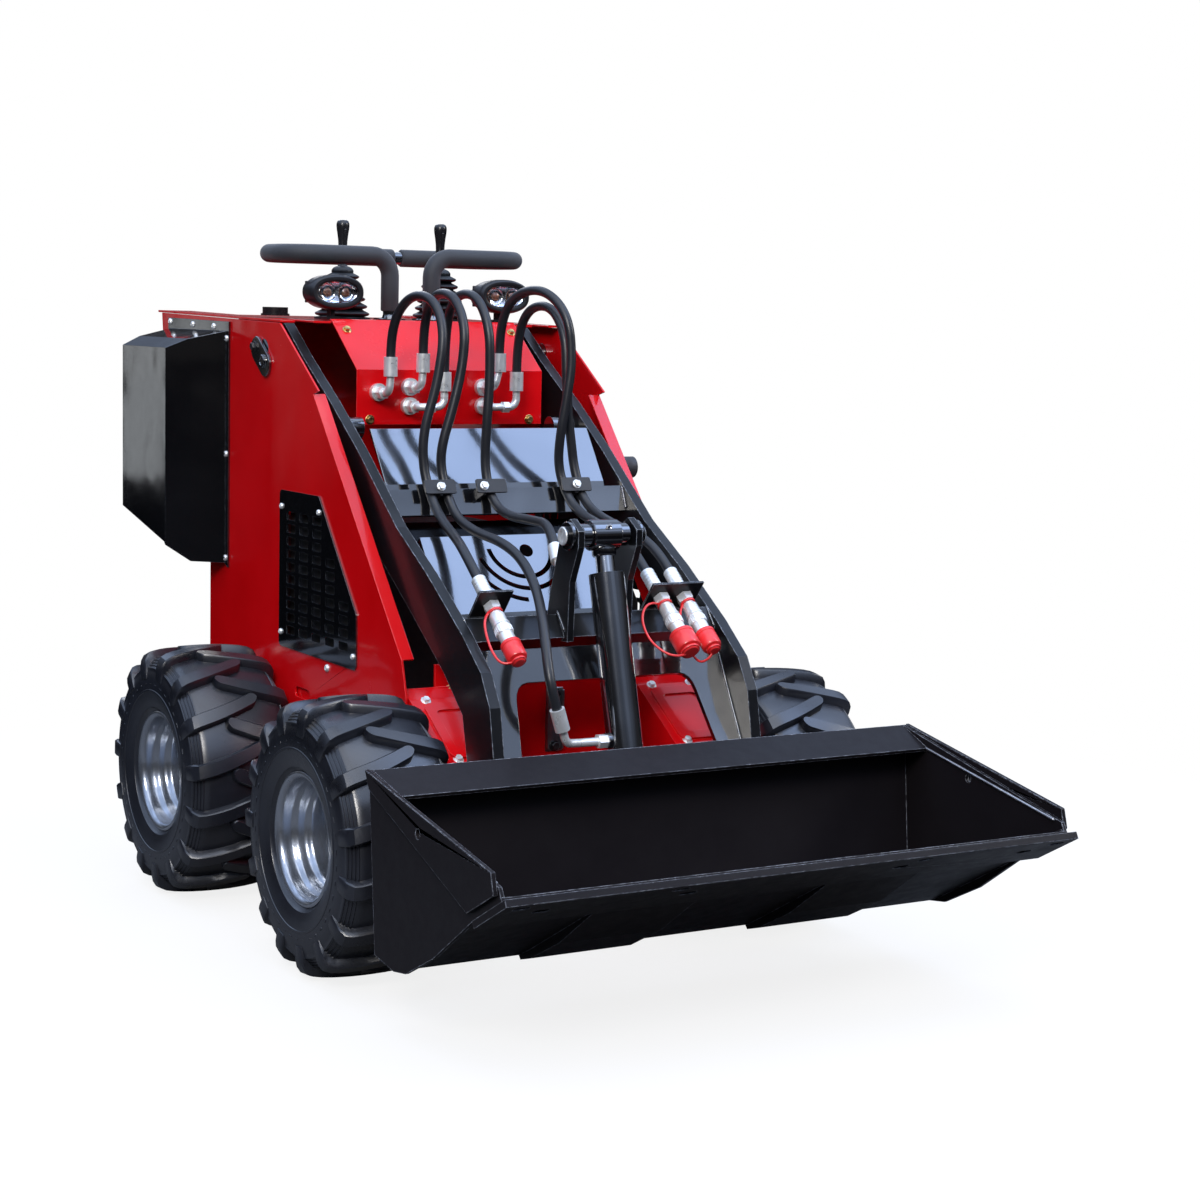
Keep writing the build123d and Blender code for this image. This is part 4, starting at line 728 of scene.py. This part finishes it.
bm_z, bm_c, bm_r = bmesh.new(), bmesh.new(), bmesh.new()
for x, cap_r in COUPLERS:
    top = on_coupler(x, 0)
    # crimped ferrule
    prof = [(10.5, 0), (11.8, 0.6), (12.5, 2)]
    for k in range(5):
        prof += [(12.5, 6 + k * 7), (11.9, 7.4 + k * 7), (11.9, 9.0 + k * 7), (12.5, 10.4 + k * 7)]
    prof += [(12.5, 43), (11.6, 45.5), (8, 46)]
    add_lathe(bm_z, prof, top, COUPLER_DIR, 36)
    add_hex(bm_z, on_coupler(x, 45.5), COUPLER_DIR, 14, 10, turn=0.2, washer_t=0)
    add_lathe(bm_z, ((9.6, 55), (9.6, 61)), top, COUPLER_DIR, 24)
    add_hex(bm_z, on_coupler(x, 60.6), COUPLER_DIR, 15, 13, turn=0.5, washer_t=0)
    # body, knurled sleeve, nose
    add_lathe(bm_z, ((10.5, 73), (10.5, 84.5), (13.2, 85), (13.5, 86), (13.5, 103), (14.6, 104.2), (15, 105.5), (15, 108.6), (14, 109.4), (14, 111), (15, 112), (15, 124.5),
                     (14.4, 126), (13, 126.4), (13, 148.5)), top, COUPLER_DIR, 40)
    # sleeve ribs
    xa, ya, na = axes_for(COUPLER_DIR)
    for k in range(24):
        a = 2 * pi * k / 24
        p0 = on_coupler(x, 113.5) + (xa * cos(a) + ya * sin(a)) * 14.9
        p1 = on_coupler(x, 123.5) + (xa * cos(a) + ya * sin(a)) * 14.9
        add_tube(bm_z, [p0, p1], 0.7, 6)
    r = cap_r
    add_lathe(bm_c, ((r - 3, 145.6), (r - 0.8, 146), (r, 147.4), (r, 152), (r - 0.9, 153.2), (r - 1.0, 156), (r - 0.2, 157.4), (r - 0.2, 177), (r - 1.6, 180.4),
                     (r - 5, 182), (r - 7.0, 182.4), (r - 7.6, 184), (r - 7.4, 187.8), (r - 9, 189.6), (0, 190)), top, COUPLER_DIR, 40)
    add_lathe(bm_r, ((11.0, 75.5), (13.2, 75.8), (13.8, 77.6), (13.2, 79.4), (11.0, 79.8)), top, COUPLER_DIR, 32, closed=True)
    ring_r = max(r - 7.5, 9)
    add_lathe(bm_r, ((ring_r, 183.4), (ring_r + 2.6, 183.8), (ring_r + 3.0, 185.4), (ring_r + 2.4, 187.0), (ring_r, 187.2)), top, COUPLER_DIR, 32, closed=True)
dress(from_bm("coupler_metal", bm_z, 32), ZINC, "lift_arm", ("couplers",))
dress(from_bm("coupler_dust_caps", bm_c, 34), CAP, "lift_arm", ("coupler_caps",))
dress(from_bm("coupler_cap_rings", bm_r, 40), CAP, "lift_arm", ("coupler_caps",))
LANYARDS = (
    ((-208, -321, 596), (-219, -330, 590), (-229, -346, 574), (-232, -372, 544), (-226, -394, 522), (-211, -404, 523), (-203, -405, 526)),
    ((119, -320, 595), (104, -326, 600), (84, -331, 592), (73, -342, 570), (75, -366, 540), (92, -392, 520), (112, -404, 517), (122, -405, 520)),
    ((168, -322, 592), (158, -330, 586), (151, -341, 566), (150, -362, 532), (155, -392, 502), (168, -405, 508), (174, -406, 518)),
)
for k, route in enumerate(LANYARDS):
    mesh, path = curve_mesh("cap_lanyard_%d" % k, route, 2.1, resolution=10, bevel_res=3)
    dress(new_object("cap_lanyard_%d" % k, mesh), CAP, "lift_arm", ("coupler_caps",))

# ---------------------------------------------------------------- tilt cylinder's rod end and its pin
TILT_TOP, TILT_FOOT = Vector((0, -328, 717)), Vector((0, -446, 262))
down = (TILT_FOOT - TILT_TOP).normalized()
bm = bmesh.new()
add_lathe(bm, ((15.9, 18), (15.9, 400)), TILT_TOP, down, 40)
dress(from_bm("tilt_rod_chrome", bm, 40), CHROME, "tilt_rod_body", ("tilt_rod",))
bm = bmesh.new()
add_lathe(bm, ((20, -26), (24.4, -26), (25.8, -24.6), (25.8, 24.6), (24.4, 26), (20, 26)), TILT_TOP, (1, 0, 0), 56)
for a, b in ((-44.6, -26.6), (26.6, 44.6)):
    add_lathe(bm, ((12, a), (18.6, a), (19.4, a + 0.8), (19.4, b - 0.8), (18.6, b), (12, b)), TILT_TOP, (1, 0, 0), 48)
add_lathe(bm, ((17.2, 20), (20.5, 24), (20.5, 33), (18.6, 36), (16, 36.4)), TILT_TOP, down, 40)
# grease nipple on the eye
nip = (Vector((0, -0.82, 0.57))).normalized()
add_lathe(bm, ((4.6, 25), (4.6, 27.4), (2.2, 28), (2.0, 30.6), (2.9, 31.6), (2.9, 33), (0, 34.4)), TILT_TOP, nip, 14)
dress(from_bm("tilt_rod_eye", bm, 38), BLACK, "tilt_rod_body", ("tilt_rod",))
bm = bmesh.new()
for side in (-1, 1):
    # bossed ends of the ears round the pin
    add_lathe(bm, ((16.2, 62.6), (22.5, 62.6), (24.0, 63.6), (24.0, 67.4), (22.8, 68.6), (16.4, 68.6)), TILT_TOP, (side, 0, 0), 48)
dress(from_bm("ear_bosses", bm, 38), BLACK, "lift_arm")
bm = bmesh.new()
for side in (-1, 1):
    add_lathe(bm, ((15.6, 66), (15.6, 76.2), (14.4, 77.6), (10, 78), (8.5, 77.2), (0, 77.2)), TILT_TOP, (side, 0, 0), 40)
dress(from_bm("ear_pin_heads", bm, 38), ZINC, "lift_arm")

# ---------------------------------------------------------------- bolts, clamps, keepers
bolt_sets = {}


def bolt(key, origin, axis, af_r, height, washer_r=0.0, turn=0.3):
    bm = bolt_sets.setdefault(key, bmesh.new())
    add_hex(bm, origin, axis, af_r, height, washer_r, turn=turn)


def screw(key, origin, axis, r, height):
    """Button head with a round socket recess."""
    bm = bolt_sets.setdefault(key, bmesh.new())
    add_lathe(bm, ((r, 0), (r, height * 0.25), (r * 0.9, height * 0.62), (r * 0.66, height * 0.93), (r * 0.45, height), (r * 0.4, height * 0.5), (0, height * 0.5)), origin, axis, 20)


slope_n = Vector((0, -0.5474, 0.8369))
for side in (-1, 1):
    out = (side, 0, 0)
    bolt(("chassis", "brass"), (side * 165.5, 224, 882), (0, -1, 0), 6.5, 5, 9)
    bolt(("chassis", "brass"), (side * 172, 312, 1042.6), (0, -0.619, 0.786), 6, 4.5, 8.5)
    bolt(("chassis", "brass"), (side * 200.7, -172, 444), (0, -1, 0), 7.5, 6, 10.5)
    bolt(("chassis", "zinc"), (side * 262, -206, 435.5), slope_n, 6.5, 5, 9)
    bolt(("chassis", "zinc"), (side * 182, -206, 435.5), slope_n, 6.5, 5, 9)
    bolt(("chassis", "zinc"), (side * 182, -326, 357.0), slope_n, 6.5, 5, 9)
    bolt(("chassis", "zinc"), (side * 262, -326, 357.0), slope_n, 6.5, 5, 9)
    for y, z in ((311, 721), (147.7, 722), (311, 490), (0.5, 484)):
        screw(("chassis", "zinc"), (side * 299, y, z), out, 5.5, 4)
    screw(("chassis", "zinc"), (side * 296, 110.5, 449), out, 7, 5)
    for y, z in ((871, 1048), (749, 1044), (640, 1042), (576, 1020), (576, 600), (576, 800)):
        screw(("chassis", "zinc"), (side * 300, y, z), out, 6, 4)
    screw(("chassis", "zinc"), (side * 300, 645, 652), out, 6, 4)
    # step brackets
    for z in (176, 262):
        bolt(("chassis", "zinc"), (side * 210, 668, z), (0, 1, 0), 8, 6, 12)
    # bucket pins' keepers and arm pin ends
    bolt(("bucket", "zinc"), (side * 279, -400, 165), out, 9.5, 7, 0)

# a plate, a spacer and one bolt at each clamp
BAR_O = Vector((0, 2.0, 772.0))
BAR_N = Vector((0, -44, 19)).normalized()
BAR_UP = Vector((0, 19, 44)).normalized()
CLAMPS = ((-147.0, -146.0), (-46.0, -61.0), (127.0, 127.0))
bm = bmesh.new()
for middle, bolt_x in CLAMPS:
    o = BAR_O + BAR_N * 23.5 - BAR_UP * 5
    outline = rounded(((-30, -13), (30, -13), (30, 13), (-30, 13)), 4)
    add_prism(bm, outline, Vector((middle, 0, 0)) + o, Vector((1, 0, 0)), BAR_UP, BAR_N, 4, 0.8)
    base = BAR_O - BAR_UP * 11
    add_prism(bm, ((-3, -9), (3, -9), (3, 9), (-3, 9)), Vector((bolt_x, 0, 0)) + base, Vector((1, 0, 0)), BAR_UP, BAR_N, 23.8, 0.5)
    bolt(("lift_arm", "zinc"), Vector((bolt_x, 0, 0)) + BAR_O + BAR_N * 27.4 - BAR_UP * 5, BAR_N, 6.8, 5, 8.2)
dress(from_bm("clamp_plates", bm, 35), SATIN, "lift_arm", ("hose_clamps",))

# oval keeper plate over each lift pivot
d = Vector((85, 60)).normalized()
n2 = Vector((-d.y, d.x))
for side, sname in ((-1, "right"), (1, "left")):
    bm = bmesh.new()
    outline = []
    for k in range(13):
        a = -pi / 2 + pi * k / 12
        outline.append(tuple(Vector((430, 1004)) + (d * cos(a) + n2 * sin(a)) * 23))
    for k in range(13):
        a = pi / 2 + pi * k / 12
        outline.append(tuple(Vector((391, 976.5)) + (d * cos(a) + n2 * sin(a)) * 23))
    add_prism(bm, outline, (side * 296, 0, 0), Vector((0, 1, 0)), Vector((0, 0, 1)), Vector((side, 0, 0)), 6, 1.2)
    add_lathe(bm, ((19.9, -74), (19.9, -1)), (side * 296, 405, 1002), (side, 0, 0), 40)
    add_lathe(bm, ((13, 5.5), (13, 9), (11.5, 10.2), (7, 10.4), (6, 8.8), (0, 8.8)), (side * 296, 396, 981), (side, 0, 0), 32)
    dress(from_bm("pivot_keeper_" + sname, bm, 35), BLACK, "chassis", ("arm_pivot_pins",))
    bolt(("chassis", "black"), (side * 302, 436, 1008), (side, 0, 0), 7.5, 5.5, 10)

# dark sheet behind each side grille: painted shade, so the holes show the dark of the shaded inside
bm = bmesh.new()
for side in (-1, 1):
    add_prism(bm, ((306, 733), (158, 735), (8, 555), (6, 477), (306, 484)), (side * 281, 0, 0), Vector((0, 1, 0)), Vector((0, 0, 1)), Vector((side, 0, 0)), 2.5, 0.4)
dress(from_bm("grille_shade_sheets", bm, 30), SHADE_SHEET, "chassis")

# level gauge: channel, glass column, two banjo bolts
bm = bmesh.new()
add_box(bm, (-12, -176, 326), (20, -172, 438), 0.8)
add_box(bm, (-12, -181, 330), (-8.5, -175, 434), 0.8)
add_box(bm, (16.5, -181, 330), (20, -175, 434), 0.8)
for k in range(9):
    add_box(bm, (8.5, -177.2, 352 + k * 7.4), (8.5 + (6 if k % 4 == 0 else 3.5), -175.8, 352.9 + k * 7.4), 0.2)
dress(from_bm("gauge_channel", bm, 35), STEEL, "chassis", ("sight_gauge",))
bm = bmesh.new()
add_tube(bm, [(1, -178.5, 344), (1, -178.5, 420)], 4.2, 16, round_end=1)
dress(from_bm("gauge_glass", bm, 50), GLASS, "chassis", ("sight_gauge",))
for z in (336, 428):
    bolt(("chassis", "black"), (4, -176, z), (0, -1, 0), 7.5, 7, 9.5)

BOLT_MATERIALS = {"zinc": ZINC, "brass": BRASS, "black": SATIN}
for (body, kind), bm in bolt_sets.items():
    dress(from_bm("bolts_%s_%s" % (body, kind), bm, 28), BOLT_MATERIALS[kind], body)

# ---------------------------------------------------------------- weld beads


def add_bead(bm, path, radius, step=4.2, seg=8):
    """Stacked ripples along a line of points in mm."""
    pts = [Vector(p) for p in path]
    line = []
    for a, b in zip(pts, pts[1:]):
        count = max(2, int((b - a).length / step))
        for k in range(count):
            line.append(a.lerp(b, k / count))
    line.append(pts[-1])
    ref = None
    rings = []
    for i, p in enumerate(line):
        t = (line[min(i + 1, len(line) - 1)] - line[max(i - 1, 0)]).normalized()
        if ref is None:
            ref = t.orthogonal().normalized()
        ref = (ref - t * ref.dot(t)).normalized()
        s = t.cross(ref)
        for shift, f in ((-0.32, 0.80), (0.0, 1.0), (0.32, 0.84)):
            if (i == 0 and shift < 0) or (i == len(line) - 1 and shift > 0):
                continue
            r = radius * f * (1 + 0.10 * (random.random() - 0.5)) * (0.35 if i in (0, len(line) - 1) else 1)
            c = p + t * shift * step
            rings.append([bm.verts.new((c + (ref * cos(2 * pi * k / seg) + s * sin(2 * pi * k / seg)) * r) * MM) for k in range(seg)])
    for a, b in zip(rings, rings[1:]):
        for k in range(seg):
            j = (k + 1) % seg
            bm.faces.new((a[k], a[j], b[j], b[k]))
    bm.faces.new(rings[0])
    bm.faces.new(rings[-1])


bm_s, bm_b, bm_r, bm_bk = bmesh.new(), bmesh.new(), bmesh.new(), bmesh.new()
for side in (-1, 1):
    xi = side * 237.4
    # cross bar to arms
    add_bead(bm_s, [(xi, 0.5, 771.5), (xi, -17.4, 729.5)], 3.4)
    # cross tube and bridge plate to arms
    add_bead(bm_b, [(xi, -318, 549), (xi, -289, 584)], 3.2)
    add_bead(bm_b, [(xi, -319, 531), (xi, -424, 337)], 3.0)
    # ears to cross tube
    for x in (side * 49.5, side * 62.5):
        add_bead(bm_b, [(x, -318.5, 556), (x, -292, 588)], 3.0)
    # bucket's side walls: inner seams at the top edge and along the floor
    xb = side * 503.5
    add_bead(bm_bk, [(xb, -517, 372), (xb, -905, 300)], 3.4)
    add_bead(bm_b, [(xb, -538, 118), (xb, -607, 113), (xb, -640, 131), (xb, -924, 288)], 3.2)
    add_bead(bm_b, [(side * 510.5, -512, 366), (side * 510.5, -614, 332), (side * 510.5, -742, 284.5), (side * 510.5, -842, 247.5)], 2.6)
    # motor boxes to hull
    add_bead(bm_r, [(side * 156, -173.5, 448), (side * 156, -173.5, 130)], 2.6)
    add_bead(bm_r, [(side * 160, -174.0, 450.8), (side * 226, -174.0, 450.8)], 2.4)
dress(from_bm("welds_bright", bm_s, 60), WELD, "lift_arm")
dress(from_bm("welds_bucket", bm_bk, 60), WELD, "bucket")
dress(from_bm("welds_red", bm_r, 60), RED, "chassis")
# painted beads sit on two bodies, so they are parted by where they are
bm_arm = bm_b
bucket_faces = [f for f in bm_arm.faces if abs(f.calc_center_median().x) > 0.4]
bm_bucket = bm_arm.copy()
bmesh.ops.delete(bm_arm, geom=bucket_faces, context="FACES")
bmesh.ops.delete(bm_bucket, geom=[f for f in bm_bucket.faces if abs(f.calc_center_median().x) <= 0.4], context="FACES")
dress(from_bm("welds_painted_arm", bm_arm, 60), BLACK, "lift_arm")
dress(from_bm("welds_painted_bucket", bm_bucket, 60), BUCKET, "bucket")

# ---------------------------------------------------------------- step tread
bm = bmesh.new()
for i in range(17):
    for j in range(9):
        x, y = -212 + i * 26.5, 682 + j * 26.5
        turned = (i + j) % 2
        a = radians(45 if turned else -45)
        u, w = Vector((cos(a), sin(a), 0)), Vector((-sin(a), cos(a), 0))
        c = Vector((x, y, 211.8))
        if abs(abs(x) - 200) < 14 and y < 704:
            continue
        low = [bm.verts.new((c + u * 9.5 * cos(t) + w * 3.0 * sin(t)) * MM) for t in [2 * pi * k / 12 for k in range(12)]]
        high = [bm.verts.new((c + Vector((0, 0, 1.6)) + u * 7.6 * cos(t) + w * 1.8 * sin(t)) * MM) for t in [2 * pi * k / 12 for k in range(12)]]
        for k in range(12):
            q = (k + 1) % 12
            bm.faces.new((low[k], low[q], high[q], high[k]))
        bm.faces.new(high)
        bm.faces.new(low)
dress(from_bm("step_tread", bm, 50), BLACK, "chassis")

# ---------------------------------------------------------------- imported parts
PLAIN = {
    "frame_tub": (RED, 1.2), "motor_boxes": (RED, 1.2), "side_panels": (RED, 1.0), "hood": (RED, 1.0), "valve_panel": (RED, 1.2), "rear_panel": (RED, 1.0),
    "drive_motors": (STEEL, 1.5), "side_grilles": (BLACK, 0.6), "side_tanks": (BLACK, 2.2), "radiator_cover": (BLACK, 1.2), "fan_guard": (BLACK, 0.9),
    "valve_fittings": (ZINC, 0.7), "engine_block": (ENGINE, 4.0), "platform": (BLACK, 1.0),
    "arm_plates": (ARM, 1.4), "arm_cross_bar": (BLACK, 1.6), "arm_cross_tube": (ARM, 1.4), "arm_portal": (BLACK, 1.4), "bucket_shell": (BUCKET, 1.1),
    "side_cutters": (BUCKET, 1.8), "cutting_edge": (BUCKET, 1.2), "attach_plate": (BLACK, 1.2), "bucket_pins": (STEEL, 1.2), "tilt_barrel": (BLACK, 1.4),
    "filler_cap": (PLASTIC, 1.4), "exhaust_outlet": (ENGINE, 0.9), "ear_fitting": (ZINC, 0.7), "tilt_port": (ZINC, 0.7),
    "lift_barrel_right": (BLACK, 1.2), "lift_barrel_left": (BLACK, 1.2), "lift_rod_right": (CHROME, 1.0), "lift_rod_left": (CHROME, 1.0),
}
ROD_EYES = {"lift_rod_right": V(-211, 199.5, 868.6), "lift_rod_left": V(211, 199.5, 868.6)}
for name, (material, width) in PLAIN.items():
    if name not in nodes:
        continue
    ob = nodes[name]
    ob.data.materials.clear()
    ob.data.materials.append(material)
    for poly in ob.data.polygons:
        poly.material_index = 0
    if name in ROD_EYES:
        # the eye is painted, the rod is chromed
        ob.data.materials.append(BLACK)
        for poly in ob.data.polygons:
            d_eye = poly.center - ROD_EYES[name]
            if sqrt(d_eye.y ** 2 + d_eye.z ** 2) < 0.029:
                poly.material_index = 1
    weld = ob.modifiers.new("weld", "WELD")
    weld.merge_threshold = 1e-5
    bev = ob.modifiers.new("bevel", "BEVEL")
    bev.width = width * MM
    bev.segments = 2
    bev.limit_method = "ANGLE"
    bev.angle_limit = radians(32)
    bev.use_clamp_overlap = True
    bev.harden_normals = False
    bev.miter_outer = "MITER_ARC"
    smooth = ob.modifiers.new("flat", "WEIGHTED_NORMAL")
    smooth.keep_sharp = True

# ---------------------------------------------------------------- floor, light
bpy.ops.mesh.primitive_grid_add(size=60, x_subdivisions=2, y_subdivisions=2, location=(0, 0, -0.0004))
floor = bpy.context.object
floor.name = "floor"
fm, nt, b, co = graph("floor_white")
nt.links.new(mix_colour(nt, noise(nt, co, 0.6, 2), (0.86, 0.86, 0.86), (0.90, 0.90, 0.90)), b.inputs["Base Color"])
b.inputs["Roughness"].default_value = 0.95
b.inputs["Specular IOR Level"].default_value = 0.05
# the pale floor runs out into a plain white sweep
far = nt.nodes.new("ShaderNodeVectorMath")
far.operation = "LENGTH"
nt.links.new(co, far.inputs[0])
fade = remap(nt, far.outputs["Value"], 1.10, 2.2, 0.84, 1.0)
seen = nt.nodes.new("ShaderNodeLightPath")
glow = nt.nodes.new("ShaderNodeEmission")
nt.links.new(math_node(nt, "MULTIPLY", seen.outputs["Is Camera Ray"], 1.0), glow.inputs["Strength"])
both = nt.nodes.new("ShaderNodeMixShader")
nt.links.new(fade, both.inputs[0])
nt.links.new(b.outputs[0], both.inputs[1])
nt.links.new(glow.outputs[0], both.inputs[2])
nt.links.new(both.outputs[0], nt.nodes["Material Output"].inputs["Surface"])
floor.data.materials.append(fm)

world = bpy.data.worlds.new("studio")
bpy.context.scene.world = world
world.use_nodes = True
nt = world.node_tree
bg = nt.nodes["Background"]
coord = nt.nodes.new("ShaderNodeTexCoord")
sep = nt.nodes.new("ShaderNodeSeparateXYZ")
nt.links.new(coord.outputs["Generated"], sep.inputs[0])
ramp = nt.nodes.new("ShaderNodeValToRGB")
els = ramp.color_ramp.elements
els[0].position, els[0].color = 0.0, (0.035, 0.033, 0.031, 1)
els[1].position, els[1].color = 1.0, (1.00, 1.28, 1.85, 1)
for position, colour in ((0.18, (0.035, 0.035, 0.038)), (0.34, (0.30, 0.37, 0.52)), (0.55, (1.05, 1.32, 1.90)), (0.75, (1.15, 1.45, 2.05))):
    e = els.new(position)
    e.color = (*colour, 1)
nt.links.new(sep.outputs["Z"], ramp.inputs["Fac"])
path = nt.nodes.new("ShaderNodeLightPath")
mixw = nt.nodes.new("ShaderNodeMix")
mixw.data_type = "RGBA"
nt.links.new(path.outputs["Is Camera Ray"], mixw.inputs["Factor"])
# soft patches in the light, so that glossy sheets show a broken sheen
cloud = nt.nodes.new("ShaderNodeTexNoise")
cloud.inputs["Scale"].default_value = 2.6
cloud.inputs["Detail"].default_value = 2.0
nt.links.new(coord.outputs["Generated"], cloud.inputs["Vector"])
patch = remap(nt, cloud.outputs["Fac"], 0.38, 0.62, 0.45, 1.30)
scaled = nt.nodes.new("ShaderNodeVectorMath")
scaled.operation = "SCALE"
nt.links.new(ramp.outputs["Color"], scaled.inputs[0])
nt.links.new(patch, scaled.inputs["Scale"])
nt.links.new(scaled.outputs["Vector"], mixw.inputs[6])
mixw.inputs[7].default_value = (1, 1, 1, 1)
nt.links.new(mixw.outputs[2], bg.inputs["Color"])
bg.inputs["Strength"].default_value = 1.0


def area(name, loc, target, size, power, colour, shape="RECTANGLE", size_y=None):
    ld = bpy.data.lights.new(name, "AREA")
    ld.shape = shape
    ld.size = size
    ld.size_y = size_y or size
    ld.energy = power
    ld.color = colour
    lo = bpy.data.objects.new(name, ld)
    bpy.context.scene.collection.objects.link(lo)
    lo.location = loc
    lo.rotation_euler = (Vector(target) - Vector(loc)).to_track_quat("-Z", "Y").to_euler()
    return lo


area("top", (-0.6, -1.2, 5.0), (0, 0, 0.4), 4.0, 60, (1.0, 0.97, 0.92))
area("key", (-3.6, -4.4, 3.8), (0, 0, 0.5), 1.6, 215, (1.0, 0.95, 0.88))
area("card", (-1.99, 5.0, 0.80), (-0.52, 0.72, 0.80), 0.25, 0.34, (0.90, 0.95, 1.0), size_y=0.75)
area("sky_card", (2.65, -1.75, 4.65), (0, 0.05, 0.75), 2.4, 25, (0.52, 0.74, 1.30), size_y=1.6)
area("fill", (4.9, -2.9, 3.6), (0, 0, 0.5), 1.6, 95, (1.0, 0.96, 0.90))
area("back", (1.5, 4.5, 3.6), (0, 0, 0.6), 1.8, 40, (1.0, 1.0, 1.0))
bpy.context.scene.view_settings.view_transform = "Standard"
bpy.context.scene.view_settings.look = "None"
bpy.context.scene.view_settings.exposure = 0.0
